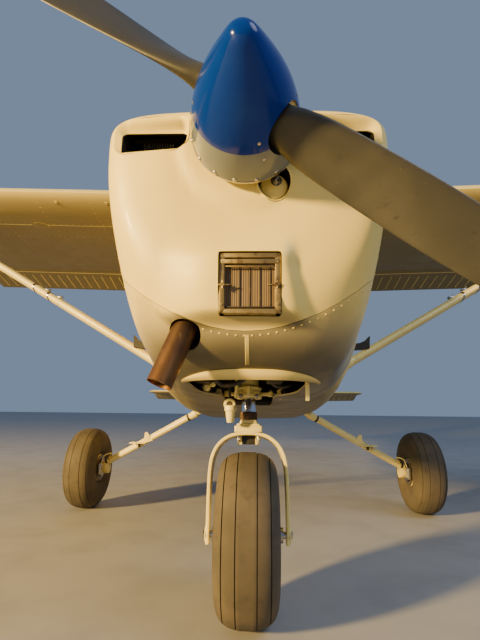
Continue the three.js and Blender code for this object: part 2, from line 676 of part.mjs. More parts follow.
function hingedSurface(surface, places, nose) {
  const half = EAR.thick / 2 + EAR.notchSide;
  const notches = places.map((place) => hingeBlock(place, 2 * half, -nose - 20, EAR.behind, nose + 30));
  const pins = places.map((place) => pinBar(place, half + 3, EAR.pin, 8));
  return joined([notches.reduce((left, notch) => left.subtract(notch), surface), ...pins]);
}

// Wings: a cambered section on straight spars, with bays for the flap and the aileron
const SECTION = { thickness: 0.12, camber: 0.02, camberAt: 0.4, steps: 9 };
const FLAP = { x0: 562, x1: 2488, hinge: 0.775, nose: 40, droop: 15 };
const AILERON = { x0: 2512, x1: 5130, hinge: 0.79, nose: 26 };
const CONTROL_EDGE = 7;
const HINGE_SHARES = [0.14, 0.86]; // of a surface's length from its inner end

function sectionHalfThickness(f) {
  const shape = 0.2969 * Math.sqrt(f) - 0.126 * f - 0.3516 * f ** 2 + 0.2843 * f ** 3 - 0.1015 * f ** 4;
  return 5 * SECTION.thickness * shape;
}

function sectionCamber(f) {
  const { camber, camberAt } = SECTION;
  if (f < camberAt) return (camber / camberAt ** 2) * (2 * camberAt * f - f * f);
  return (camber / (1 - camberAt) ** 2) * (1 - 2 * camberAt + 2 * camberAt * f - f * f);
}

// Where the wing's section at |x| = reach starts, how long it is and how it is set
function wingStation(reach) {
  const outer = Math.max(0, reach - WING.straightTo) / (WING.halfSpan - WING.straightTo);
  const chord = WING.chord + outer * (WING.tipChord - WING.chord);
  return {
    chord,
    leadY: WING.leadY + 0.3 * (WING.chord - chord),
    leadZ: WING.leadZ + reach * Math.tan(WING.dihedral * DEG),
    angle: WING.incidence - outer * WING.tipWashout,
  };
}

function wingPoint(x, f, rise) {
  const { chord, leadY, leadZ, angle } = wingStation(Math.abs(x));
  const { aft, up } = tilted(angle);
  return at(x, leadY, leadZ).addScaledVector(aft, f * chord).addScaledVector(up, rise * chord);
}

function wingRing(x, swell, extra = 0) {
  const { chord } = wingStation(Math.abs(x));
  const points = [];
  for (let i = -SECTION.steps; i <= SECTION.steps; i += 1) {
    const f = (1 - Math.cos((Math.PI * Math.abs(i)) / SECTION.steps)) / 2;
    const half = swell * (sectionHalfThickness(f) + 0.0012) + extra / chord;
    const sign = i < 0 ? 1 : -1;
    if (i !== 0) points.push(wingPoint(x, f, sectionCamber(f) + sign * half));
    else points.push(wingPoint(x, -extra / chord, 0));
  }
  return points;
}

function wingBody(side, extra = 0) {
  const { straightTo, halfSpan } = WING;
  const rings = [[430, 1], [straightTo, 1], [halfSpan - 110, 1], [halfSpan - 30, 0.72], [halfSpan, 0.3]];
  return loft(rings.map(([reach, swell]) => wingRing(side * reach, swell, extra)));
}

function hingeRow(side, reach, { hinge, nose, droop = 0 }) {
  const { chord, angle } = wingStation(reach);
  return {
    hinge: wingPoint(side * reach, hinge, sectionCamber(hinge)),
    ...tilted(angle + droop),
    nose: (nose * chord) / WING.chord,
    chord: (1 - hinge) * chord,
    edge: CONTROL_EDGE,
  };
}

// The bay cut in the wing for a surface, in plan
function bayCut(side, { x0, x1, hinge, nose }) {
  const front = (reach) => {
    const { chord } = wingStation(reach);
    return wingPoint(reach, hinge, 0).y - (nose * chord) / WING.chord - RUN_GAP;
  };
  const ends = [x0 - RUN_GAP, x1 + RUN_GAP];
  const plan = [[ends[0], front(ends[0])], [ends[1], front(ends[1])], [ends[1], 2800], [ends[0], 2800]];
  return loft([1500, 2700].map((z) => plan.map(([x, y]) => at(side * x, y, z))));
}

const STRUT = {
  foot: { x: 505, y: 704, z: 957 },
  head: { x: 2400, y: 1105, z: 2062 },
  chord: 148,
  rise: 60, // its upright section's height; 52 across its slope
  steps: 12,
};

function strutBody(side) {
  const ring = ({ x, y, z }) => Array.from({ length: STRUT.steps }, (_, i) => {
    const turn = (2 * Math.PI * i) / STRUT.steps;
    return at(side * x, y + (STRUT.chord / 2) * Math.cos(turn), z + (STRUT.rise / 2) * Math.sin(turn));
  });
  return loft([ring(STRUT.foot), ring(STRUT.head)]);
}

// What of the strut would stand above the wing's inside
function strutTop(side) {
  const { head, chord } = STRUT;
  const [y0, y1] = [head.y - chord - OVER, head.y + chord + OVER];
  return block(side * (head.x - 100), side * (head.x + 200), y0, y1, 2040, 2300);
}

function addWings() {
  const cabinCut = bodySolid(CABIN_SECTIONS, -SEAT_GAP);
  for (const [side, hand] of [[1, 'left'], [-1, 'right']]) {
    const bare = [cabinCut, bayCut(side, FLAP), bayCut(side, AILERON)]
      .reduce((left, bay) => left.subtract(bay), wingBody(side));
    const fittings = [wingTieDown(side)];
    for (const [name, surface] of [['flap', FLAP], ['aileron', AILERON]]) {
      const ends = [surface.x0, surface.x1];
      const [first, last] = ends.map((reach) => hingeRow(side, reach, surface));
      const { aft } = tilted(WING.incidence);
      const places = HINGE_SHARES.map((share) => hingeAt(first.hinge, last.hinge, share, aft));
      fittings.push(...places.map((place) => hingeEar(place, surface.nose + 2 * RUN_GAP + 8)));
      const skin = loft([first, last].map(controlRing));
      add(`${name}_${hand}`, hingedSurface(skin, places, surface.nose), PAINT);
    }
    add(`wing_${hand}`, joined([bare, ...fittings]), PAINT);
    add(`wing_strut_${hand}`, strutBody(side).subtract(cabinCut).subtract(wingBody(side, SEAT_GAP))
      .subtract(strutTop(side)), PAINT);
  }
}

// The tie-down fitting under the wing by the strut's head: a lug with a flat foot
const TIE_DOWN = { x: 2560, y: 1105, depth: 40, half: 9, length: 44, hole: 9 };
const TAIL_TIE = { y: 5930, z: 862 };

function wingTieDown(side) {
  const under = wingPoint(side * TIE_DOWN.x, 0.27, sectionCamber(0.27) - sectionHalfThickness(0.27));
  return tieDownLug(side * TIE_DOWN.x, TIE_DOWN.y, under.z - TIE_DOWN.depth, 70);
}

function tieDownLug(x, y, foot, height) {
  const { half, length, hole } = TIE_DOWN;
  const level = foot + hole + 10;
  const plate = block(x - half, x + half, y - length / 2, y + length / 2, foot, foot + height);
  return plate.subtract(bar(at(x - 50, y, level), at(x + 50, y, level), hole, hole, 12));
}

// Tail: fin, rudder, one stabilizer through the cone, and the elevator on its tube
const ELEVATOR_TUBE = 16;
const ELEVATOR = { inner: 118, rootChord: 395, tipChord: 300, rootNose: 30, tipNose: 22 };
const STABILIZER_ROWS = [
  // reach, leading edge, thickness
  [0, TAIL.leadY, 84],
  [TAIL.halfSpan - 60, TAIL.leadY + 165, 54],
  [TAIL.halfSpan, TAIL.leadY + 235, 26],
];
const STABILIZER_SHAPE = [[0, 0], [0.06, 0.62], [0.2, 0.92], [0.42, 1], [1, 0.8]]; // along, half thickness
const STABILIZER_WALL = 8;

function stabilizerRing(side, [reach, leadY, thickness], inset) {
  const length = TAIL.hingeY - ELEVATOR.rootNose - RUN_GAP - leadY - 2 * inset;
  const place = ([f, h], sign) => at(side * reach, leadY + inset + f * length,
    TAIL.z + sign * Math.max(0.5, h * (thickness / 2 - inset)));
  const above = STABILIZER_SHAPE.map((row) => place(row, 1));
  const below = STABILIZER_SHAPE.slice(1).map((row) => place(row, -1)).reverse();
  above[0].z = TAIL.z;
  return [...above, ...below];
}

function stabilizerBody(inset, shorter = 0) {
  const rows = STABILIZER_ROWS.map(([reach, ...rest]) => [Math.max(0, reach - shorter), ...rest]);
  const left = [...rows].reverse().map((row) => stabilizerRing(-1, row, inset));
  const right = rows.slice(1).map((row) => stabilizerRing(1, row, inset));
  return loft([...left, ...right]);
}

function elevatorBar(half, radius) {
  return bar(at(-half, TAIL.hingeY, TAIL.z), at(half, TAIL.hingeY, TAIL.z), radius, radius, 16);
}

function elevatorHalf(side) {
  const { aft, up } = tilted(TAIL.elevatorDroop);
  const row = (reach, nose, chord) => controlRing({
    hinge: at(side * reach, TAIL.hingeY, TAIL.z), aft, up, nose, chord, edge: CONTROL_EDGE,
  });
  return loft([
    row(ELEVATOR.inner, ELEVATOR.rootNose, ELEVATOR.rootChord),
    row(TAIL.halfSpan - 12, ELEVATOR.tipNose, ELEVATOR.tipChord),
    row(TAIL.halfSpan, ELEVATOR.tipNose * 0.7, ELEVATOR.tipChord * 0.8),
  ]);
}

const FIN_ROWS = [
  // height, leading edge, thickness
  [1000, 4985, 84],
  [2300, 5905, 52],
  [2400, 5995, 40],
  [2440, 6060, 16],
];
const RUDDER_LINE = { z0: 940, y0: 6078, z1: 2440, y1: 6378 };
const RUDDER_ROWS = [
  // height, chord behind the hinge, nose radius
  [940, 330, 22],
  [1180, 400, 27],
  [2330, 585, 17],
  [2440, 622, 9],
];

const RUDDER_HINGES = [0.2, 0.85];

function rudderHinge(z) {
  const { z0, y0, z1, y1 } = RUDDER_LINE;
  return y0 + ((z - z0) / (z1 - z0)) * (y1 - y0);
}

function finRing([z, leadY, thickness]) {
  const backY = rudderHinge(z) - 27 - RUN_GAP * 1.5;
  const half = thickness / 2;
  const shape = [[0, 0.001], [0.05, 0.6], [0.2, 0.95], [0.5, 1], [1, 0.72]];
  const right = shape.map(([f, h]) => at(h * half, leadY + f * (backY - leadY), z));
  const left = shape.slice(1).map(([f, h]) => at(-h * half, leadY + f * (backY - leadY), z)).reverse();
  return [...right, ...left];
}

function dorsalFin() {
  const outline = [[4380, 1230], [4380, 1262], [5150, 1338], [5400, 1560], [5400, 1100]];
  return sidePlate(outline, -14, 14);
}

function rudderBody() {
  return loft(RUDDER_ROWS.map(([z, chord, nose]) => controlRing({
    hinge: at(0, rudderHinge(z), z), aft: at(0, 1, 0), up: at(1, 0, 0), nose, chord, edge: CONTROL_EDGE,
  })));
}

function addTail() {
  const coneCut = bodySolid(CONE_SECTIONS, -SEAT_GAP);
  const stabilizer = stabilizerBody(0);
  const hole = bar(at(0, 5400, TAIL.z - 60), at(0, 5400, TAIL.z), 40, 40, 12);
  addTailCone(stabilizerBody(-SEAT_GAP));
  add('stabilizer', stabilizer.subtract(stabilizerBody(STABILIZER_WALL, 60)).subtract(hole), PAINT);
  const halves = [1, -1].map(elevatorHalf);
  add('elevator', joined([...halves, elevatorBar(ELEVATOR.inner + 20, ELEVATOR_TUBE)]), PAINT);
  const rudderHinges = RUDDER_HINGES.map((share) => hingeAt(at(0, RUDDER_LINE.y0, RUDDER_LINE.z0),
    at(0, RUDDER_LINE.y1, RUDDER_LINE.z1), share, at(0, 1, 0)));
  const ears = rudderHinges.map((place) => hingeEar(place, 50));
  const fin = joined([loft(FIN_ROWS.map(finRing)), dorsalFin(), ...ears])
    .subtract(coneCut).subtract(block(-200, 200, 4000, 6200, 800, 1090));
  add('fin', fin, PAINT);
  add('rudder', hingedSurface(rudderBody(), rudderHinges, 27), PAINT);
  const finTop = FIN_ROWS.at(-1)[0];
  const lamp = [[0, 0], [30, 0], [30, 12], [24, 46], [12, 60], [0, 62]];
  add('beacon', turned(lamp, 'z', at(0, 6190, finTop + SEAT_GAP), 20), RED_GLASS);
}

// Wheels: a two-part rim and a full low-pressure tyre that sits on it
const RIM_PROFILE = [
  // radius, place along the axle
  [21, -62], [44, -62], [58, -40], [66, -76], [92, -84], [96, -80], [79.5, -72],
  [79.5, 72], [96, 80], [92, 84], [66, 76], [58, 40], [44, 62], [21, 62], [21, -62],
];
const TYRE_PROFILE = [
  [80, -71.5], [99, -79], [140, -103], [190, -TYRE_WIDTH / 2], [240, -99], [270, -72],
  [TYRE_RADIUS, -24], [TYRE_RADIUS, 24], [270, 72], [240, 99], [190, TYRE_WIDTH / 2],
  [140, 103], [99, 79], [80, 71.5], [80, -71.5],
];
const TYRE_SIDES = 36;
const RIM_SIDES = 16;
const AXLE_RADIUS = 20; // in the rim's 21 mm bore

function addWheel(name, centre) {
  add(`${name}_rim`, turned(RIM_PROFILE, 'x', centre, RIM_SIDES), PAINT);
  add(`${name}_tyre`, turned(TYRE_PROFILE, 'x', centre, TYRE_SIDES), RUBBER);
}

// Nose gear: a fixed barrel; the piston, fork, links and wheel steer about its line
const NOSE_LEG = {
  pistonRadius: 24, pistonFrom: 376, pistonTo: 700, barrelRadius: 37, barrelFrom: 490, barrelTo: 820,
  collarFrom: 498, collarTo: 530, collarRadius: 48,
};
const FORK = {
  outer: 152, inner: 136, straightTo: 150, outerTop: 356, innerTop: 318, foot: -30, depth: 44, power: 2.4,
};
const AXLE_END = 12; // radius of the nose axle outside the fork

function legPoint(along, across = 0, back = 0) {
  const rake = STRUT_RAKE * DEG;
  return at(across, NOSE_AXLE.y + along * Math.sin(rake) + back * Math.cos(rake),
    NOSE_AXLE.z + along * Math.cos(rake) - back * Math.sin(rake));
}

function leaned(geometry) {
  geometry.rotateX(-STRUT_RAKE * DEG);
  geometry.translate(0, NOSE_AXLE.y, NOSE_AXLE.z);
  return solid(geometry);
}

function legBlock(x0, x1, back0, back1, along0, along1) {
  const geometry = new THREE.BoxGeometry(x1 - x0, back1 - back0, along1 - along0);
  geometry.translate((x0 + x1) / 2, (back0 + back1) / 2, (along0 + along1) / 2);
  return leaned(geometry);
}

function forkArch() {
  const steps = 8;
  const arc = (half, top) => Array.from({ length: steps + 1 }, (_, i) => {
    const turn = (i / steps) * (Math.PI / 2);
    return [half * Math.cos(turn) ** (2 / FORK.power),
      FORK.straightTo + (top - FORK.straightTo) * Math.sin(turn) ** (2 / FORK.power)];
  });
  const halfOutline = (half, top) => [[half, FORK.foot], ...arc(half, top)];
  const outer = halfOutline(FORK.outer, FORK.outerTop);
  const inner = halfOutline(FORK.inner, FORK.innerTop);
  const leftSide = (points) => points.slice(0, -1).map(([x, z]) => [-x, z]);
  const outline = [...outer, ...leftSide(outer).reverse(), ...leftSide(inner), ...[...inner].reverse()];
  const shape = new THREE.Shape(outline.map(([x, z]) => new THREE.Vector2(x, z)));
  const geometry = new THREE.ExtrudeGeometry(shape, { depth: FORK.depth, steps: 1, bevelEnabled: false });
  geometry.rotateX(Math.PI / 2);
  geometry.translate(0, FORK.depth / 2, 0);
  return leaned(geometry);
}

function torqueLinks() {
  const apex = { along: 438, back: 128 };
  const lug = (along, from, to) => legBlock(-16, 16, from, to, along - 11, along + 11);
  const link = (from, to) => [-1, 1].map((side) => (
    bar(legPoint(from.along, side * 20, from.back), legPoint(to.along, side * 9, to.back), 8, 8, 8)));
  const pin = ({ along, back }, half) => (
    bar(legPoint(along, -half, back), legPoint(along, half, back), 11, 11, 8));
  const low = { along: 366, back: 52 };
  const high = { along: 514, back: 70 };
  return joined([...link(low, apex), ...link(high, apex), pin(apex, 22), pin(low, 30), pin(high, 30),
    lug(366, 28, 52), lug(514, 40, 70)]);
}

function addNoseGear() {
  const { pistonRadius, pistonFrom, pistonTo, barrelRadius, barrelFrom, barrelTo } = NOSE_LEG;
  const legBar = (from, to, radius) => bar(legPoint(from), legPoint(to), radius, radius, 24);
  const barrel = legBar(barrelFrom, barrelTo, barrelRadius)
    .subtract(legBar(barrelFrom - 10, pistonTo + 20, pistonRadius + 1));
  const brackets = [600, 780].map((along) => legBlock(-60, 60, 10, 190, along - 14, along + 14)
    .subtract(legBar(along - 30, along + 30, barrelRadius - 4)));
  const firewallCut = block(-300, 300, -2 - SEAT_GAP, 300, 600, 1300);
  add('nose_strut_barrel', joined([barrel, ...brackets]).subtract(firewallCut), STEEL);
  const { collarFrom, collarTo, collarRadius } = NOSE_LEG;
  const collar = legBar(collarFrom, collarTo, collarRadius)
    .subtract(legBar(collarFrom - 9, collarTo + 9, barrelRadius + 0.6));
  add('torque_links', joined([collar, torqueLinks()])
    .subtract(legBar(320, 480, pistonRadius + SEAT_GAP))
    .subtract(legBlock(-40, 40, -40, 40 + SEAT_GAP, 300, pistonFrom)), PAINT);
  add('nose_piston', legBar(pistonFrom + SEAT_GAP, pistonTo, pistonRadius), STEEL);
  const crown = legBlock(-38, 38, -40, 40, 330, pistonFrom);
  const onAxle = (x) => at(x, NOSE_AXLE.y, NOSE_AXLE.z);
  const axleBar = (half, radius, sides) => bar(onAxle(-half), onAxle(half), radius, radius, sides);
  const axleHole = axleBar(200, AXLE_END + SEAT_GAP, 20);
  add('nose_fork', forkArch().add(crown).subtract(axleHole), PAINT);
  add('nose_axle', joined([
    axleBar(FORK.outer + 24, AXLE_END, 12),
    axleBar(FORK.inner - SEAT_GAP, AXLE_RADIUS, 12),
    ...[-1, 1].map((side) => (
      bar(onAxle(side * (FORK.outer + SEAT_GAP)), onAxle(side * (FORK.outer + 16)), 22, 22, 6))),
  ]), STEEL);
  addWheel('nose', at(0, NOSE_AXLE.y, NOSE_AXLE.z));
}

// Main gear: a sprung tube out of the belly, an axle, a caliper plate and a step on each side
const MAIN_LEG = {
  radius: 21,
  route: [[300, 1366, 752], [640, 1440, 566], [1040, 1528, 352], [1112, 1540, 316]], // x, y, z
  foot: { in: 1078, out: 1126 },
};

const LEG_STEP = { x0: 780, x1: 900, y0: 1405, y1: 1475, z0: 470, z1: 476 };
// The brake caliper and the plate that carries it: x, y from the axle, half height
const CALIPER = { x0: 1112, x1: 1134, y0: -100, y1: -60, half: 40 };
const CALIPER_PLATE = { x0: 1126.4, x1: 1134, y0: -90, y1: 0, half: 34 };

function onHub({ x0, x1, y0, y1, half }, side) {
  const { y, z } = MAIN_AXLE;
  return block(side * x0, side * x1, y + y0, y + y1, z - half, z + half);
}

function addMainGear() {
  const cabinCut = bodySolid(CABIN_SECTIONS, -SEAT_GAP);
  for (const [side, hand] of [[1, 'left'], [-1, 'right']]) {
    const route = MAIN_LEG.route.map(([x, y, z]) => at(side * x, y, z));
    const centre = at(side * MAIN_AXLE.x, MAIN_AXLE.y, MAIN_AXLE.z);
    const place = (reach, back = 0, up = 0) => at(side * reach, MAIN_AXLE.y + back, MAIN_AXLE.z + up);
    const { x0, x1, y0, y1, z0, z1 } = LEG_STEP;
    const middle = (x0 + x1) / 2;
    const step = joined([
      block(side * x0, side * x1, y0, y1, z0, z1),
      block(side * (middle - 6), side * (middle + 6), y0 + 25, y1 + 5, z0 - 30, z1),
    ]);
    add(`gear_leg_${hand}`, joined([
      bentBar(route, MAIN_LEG.radius, 10, 4).subtract(cabinCut),
      step,
      bar(place(MAIN_LEG.foot.in), place(MAIN_LEG.foot.out), 40, 40, 20),
    ]), PAINT);
    add(`axle_${hand}`, joined([
      bar(place(MAIN_LEG.foot.out + SEAT_GAP), place(1316), AXLE_RADIUS, AXLE_RADIUS, 12),
      bar(place(1300), place(1314), 30, 30, 6),
      bar(place(MAIN_LEG.foot.out + SEAT_GAP), place(1134), 62, 62, 20),
      onHub(CALIPER, side),
      onHub(CALIPER_PLATE, side),
    ]), STEEL);
    addWheel(`main_${hand}`, centre);
  }
}

addCowling();
addEngine();
addPropeller();
addCabin();
addWings();
addTail();
addNoseGear();
addMainGear();

export default airframe;
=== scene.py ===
"""Looks for a high-wing light aircraft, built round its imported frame.

Lengths in tables are millimetres, with y the distance aft of the firewall, as in the frame's
own source. place() turns them into the frame's metres. The nose points to -Y.
"""

import math

import bmesh
import bpy
import numpy as np
from mathutils import Matrix, Vector
from mathutils.bvhtree import BVHTree


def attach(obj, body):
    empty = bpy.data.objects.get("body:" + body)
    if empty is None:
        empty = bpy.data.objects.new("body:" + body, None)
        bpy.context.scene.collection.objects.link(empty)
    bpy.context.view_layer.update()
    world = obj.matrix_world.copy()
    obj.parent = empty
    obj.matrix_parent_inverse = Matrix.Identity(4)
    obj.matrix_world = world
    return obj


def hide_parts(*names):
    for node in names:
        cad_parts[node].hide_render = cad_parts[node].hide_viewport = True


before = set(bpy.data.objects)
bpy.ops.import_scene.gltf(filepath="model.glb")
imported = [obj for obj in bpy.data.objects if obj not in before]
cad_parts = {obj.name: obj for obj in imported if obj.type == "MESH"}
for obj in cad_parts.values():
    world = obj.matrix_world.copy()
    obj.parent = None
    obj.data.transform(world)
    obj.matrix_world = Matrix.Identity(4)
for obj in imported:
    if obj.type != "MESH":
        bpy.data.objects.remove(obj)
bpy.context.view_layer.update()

MM = 0.001
STATION_SHIFT = -2907.5
X_AXIS = Vector((1, 0, 0))
Y_AXIS = Vector((0, 1, 0))
Z_AXIS = Vector((0, 0, 1))
SIDES = ((1, "left"), (-1, "right"))


def place(x, y, z):
    """A point in the frame's metres from millimetres and a station."""
    return Vector((x * MM, (y + STATION_SHIFT) * MM, z * MM))


# Node materials

LOOKS = {}


def noise(tree, scale, stretch=(1, 1, 1), detail=5.0, seed=0.0):
    """Noise over the piece's own coordinates, in metres."""
    coords = tree.nodes.new("ShaderNodeTexCoord")
    mapping = tree.nodes.new("ShaderNodeMapping")
    mapping.inputs["Location"].default_value = (seed, seed * 0.7, seed * 1.3)
    mapping.inputs["Scale"].default_value = stretch
    texture = tree.nodes.new("ShaderNodeTexNoise")
    texture.inputs["Scale"].default_value = scale
    texture.inputs["Detail"].default_value = detail
    tree.links.new(coords.outputs["Object"], mapping.inputs["Vector"])
    tree.links.new(mapping.outputs["Vector"], texture.inputs["Vector"])
    return texture.outputs["Fac"]


def ramp(tree, value, low, high, start=0.0, end=1.0):
    """A smooth step of value between low and high."""
    node = tree.nodes.new("ShaderNodeMapRange")
    node.interpolation_type = "SMOOTHSTEP"
    numbers = {"From Min": low, "From Max": high, "To Min": start, "To Max": end}
    for socket, number in numbers.items():
        node.inputs[socket].default_value = number
    tree.links.new(value, node.inputs["Value"])
    return node.outputs["Result"]


def mixed(tree, below, colour, share):
    """A colour laid over another by a share from 0 to 1."""
    node = tree.nodes.new("ShaderNodeMix")
    node.data_type = "RGBA"
    tree.links.new(share, node.inputs["Factor"])
    if isinstance(below, tuple):
        node.inputs["A"].default_value = (*below, 1)
    else:
        tree.links.new(below, node.inputs["A"])
    if isinstance(colour, tuple):
        node.inputs["B"].default_value = (*colour, 1)
    else:
        tree.links.new(colour, node.inputs["B"])
    return node.outputs["Result"]


def along_axis(tree, axis, start, end):
    """0 to 1 along one axis of the piece's coordinates, from start to end in metres."""
    coords = tree.nodes.new("ShaderNodeTexCoord")
    split = tree.nodes.new("ShaderNodeSeparateXYZ")
    tree.links.new(coords.outputs["Object"], split.inputs["Vector"])
    return ramp(tree, split.outputs[axis], start, end)


MOTTLE = 0.88  # how light a colour's broad darker patches are


def surface(name, colour, rough, metal=0.0, coat=0.0, spread=0.12,
            stains=(), bumps=(), bands=(), under=None):
    """A node material. stains: (colour, scale, low, high, stretch); bumps: (scale, depth in mm,
    stretch); bands: (colour, axis, start, end), laid on in that order; under: (colour, share, start, full)
    of the painted shade on faces that look down, start and full being how far down."""
    look = bpy.data.materials.new(name)
    look.use_nodes = True
    tree = look.node_tree
    shader = tree.nodes["Principled BSDF"]
    tone = tuple(channel * MOTTLE for channel in colour)
    result = mixed(tree, colour, tone, ramp(tree, noise(tree, 3.1), 0.4, 0.7))
    for band_colour, axis, start, end in bands:
        result = mixed(tree, result, band_colour, along_axis(tree, axis, start, end))
    for number, (stain, scale, low, high, stretch) in enumerate(stains):
        share = ramp(tree, noise(tree, scale, stretch, 8.0, number + 1.7), low, high)
        result = mixed(tree, result, stain, share)
    # Painted shade: faces that look down are darkened towards a shade colour
    if under:
        shade_tint, share, start, full = under
        normal = tree.nodes.new("ShaderNodeNewGeometry").outputs["Normal"]
        split = tree.nodes.new("ShaderNodeSeparateXYZ")
        tree.links.new(normal, split.inputs["Vector"])
        result = mixed(tree, result, shade_tint, ramp(tree, split.outputs["Z"], -full, -start, share, 0.0))
    tree.links.new(result, shader.inputs["Base Color"])
    rough_noise = ramp(tree, noise(tree, 9.0, seed=4.2), 0.3, 0.7, rough - spread / 2, rough + spread / 2)
    tree.links.new(rough_noise, shader.inputs["Roughness"])
    shader.inputs["Metallic"].default_value = metal
    shader.inputs["Coat Weight"].default_value = coat
    shader.inputs["Coat Roughness"].default_value = 0.08
    normal = None
    for number, (scale, depth, stretch) in enumerate(bumps):
        bump = tree.nodes.new("ShaderNodeBump")
        bump.inputs["Strength"].default_value = 1.0
        bump.inputs["Distance"].default_value = depth * MM
        tree.links.new(noise(tree, scale, stretch, 4.0, number + 9.1), bump.inputs["Height"])
        if normal is not None:
            tree.links.new(normal, bump.inputs["Normal"])
        normal = bump.outputs["Normal"]
    if normal is not None:
        tree.links.new(normal, shader.inputs["Normal"])
    LOOKS[name] = look
    return look


EVEN = (1, 1, 1)
CREAM = (0.88, 0.71, 0.215)
CREAM_STAIN = (0.81, 0.64, 0.195)
GEAR_CREAM = (0.86, 0.73, 0.27)
# Painted shade colours for faces that look down
UNDERSIDE_SHADE = (0.125, 0.108, 0.06)
BELLY_SHADE = (0.055, 0.048, 0.028)
DUST = (0.50, 0.43, 0.31)
GRIME = (0.16, 0.13, 0.09)

# Faces that look down get painted shade
surface(
    "cream_paint", CREAM, 0.44, coat=0.03, spread=0.1,
    stains=((CREAM_STAIN, 1.7, 0.45, 0.8, EVEN), (DUST, 26, 0.66, 0.9, (1, 1, 0.35))),
    bumps=((7, 1.1, EVEN), (420, 0.02, EVEN)), under=(UNDERSIDE_SHADE, 0.88, 0.50, 0.93),
)
# A darker copy of the cream paint for the lower cowl: darker towards the bottom and on faces that look down
# as painted shade, with broad darker patches and grime spots
surface(
    "belly_paint", CREAM, 0.40, coat=0.05, spread=0.14, under=(BELLY_SHADE, 0.92, 0.30, 0.80),
    bands=(((0.50, 0.43, 0.23), "Z", 1.02, 0.90),),
    stains=(((0.40, 0.34, 0.19), 4, 0.50, 0.85, EVEN), (GRIME, 16, 0.66, 0.95, (1, 1, 0.4))),
    bumps=((6, 4.5, (1, 1, 0.7)), (300, 0.04, EVEN)),
)
# Faces that look down get painted shade
surface(
    "cabin_paint", CREAM, 0.44, coat=0.03, spread=0.1, under=(BELLY_SHADE, 0.92, 0.45, 0.90),
    stains=((CREAM_STAIN, 1.7, 0.45, 0.8, EVEN), (DUST, 26, 0.66, 0.9, (1, 1, 0.35))),
    bumps=((7, 1.1, EVEN), (420, 0.02, EVEN)),
)
# Pale cream of the gear, also laid without painted shade on ridges, seams and rivets of wings and tail as a
# painted highlight
surface(
    "gear_paint", GEAR_CREAM, 0.38, coat=0.1,
    stains=((DUST, 34, 0.55, 0.85, EVEN), (GRIME, 90, 0.70, 0.84, EVEN)),
    bumps=((260, 0.05, EVEN),),
)
# The spinner's paler band starts at this place and runs back to its base, with a short blur
BAND_Y = (-960 + STATION_SHIFT) * MM
BAND_BLUR = 0.0005
# The band is real two-tone paint; its colour is darkened to a grey-blue as painted shade
surface(
    "spinner_paint", (0.001, 0.026, 0.25), 0.15, spread=0.05,
    bands=(((0.15, 0.18, 0.21), "Y", BAND_Y - BAND_BLUR, BAND_Y + BAND_BLUR),),
    stains=(((0.010, 0.055, 0.26), 5, 0.5, 0.8, EVEN),),
    bumps=((6, 0.5, EVEN), (500, 0.012, EVEN)),
)
spinner_shader = LOOKS["spinner_paint"].node_tree.nodes["Principled BSDF"]
spinner_shader.inputs["Specular IOR Level"].default_value = 0.28
surface(
    "blade_paint", (0.034, 0.033, 0.026), 0.46,
    stains=(
        ((0.058, 0.054, 0.04), 5, 0.42, 0.8, EVEN),
        ((0.022, 0.02, 0.016), 30, 0.60, 0.78, (1, 1, 2.2)),
        ((0.22, 0.19, 0.13), 240, 0.70, 0.78, EVEN),
    ),
    bumps=((130, 0.10, EVEN), (700, 0.02, EVEN)),
)
surface(
    "steel", (0.48, 0.47, 0.45), 0.28, metal=1.0,
    stains=(((0.30, 0.25, 0.19), 60, 0.58, 0.8, EVEN),), bumps=((400, 0.03, EVEN),),
)
surface(
    "chrome", (0.72, 0.74, 0.78), 0.14, metal=1.0, spread=0.08,
    stains=(((0.55, 0.50, 0.42), 30, 0.62, 0.85, (1, 1, 0.3)),), bumps=((500, 0.01, EVEN),),
)
surface(
    "aluminium", (0.62, 0.60, 0.56), 0.34, metal=0.9,
    stains=(((0.36, 0.33, 0.27), 40, 0.55, 0.8, EVEN),), bumps=((300, 0.04, EVEN),),
)
surface(
    "engine_iron", (0.055, 0.05, 0.045), 0.6, metal=0.6,
    stains=(((0.14, 0.10, 0.06), 30, 0.5, 0.8, EVEN),), bumps=((160, 0.2, EVEN),),
)
surface(
    "rusty_steel", (0.10, 0.062, 0.035), 0.7, metal=0.4,
    stains=(((0.23, 0.12, 0.05), 70, 0.5, 0.75, EVEN), (GRIME, 30, 0.55, 0.8, EVEN)),
    bumps=((300, 0.2, EVEN),),
)
surface(
    "worn_steel", (0.30, 0.25, 0.20), 0.42, metal=0.9,
    stains=(((0.24, 0.11, 0.05), 45, 0.5, 0.75, EVEN),), bumps=((300, 0.08, EVEN),),
)
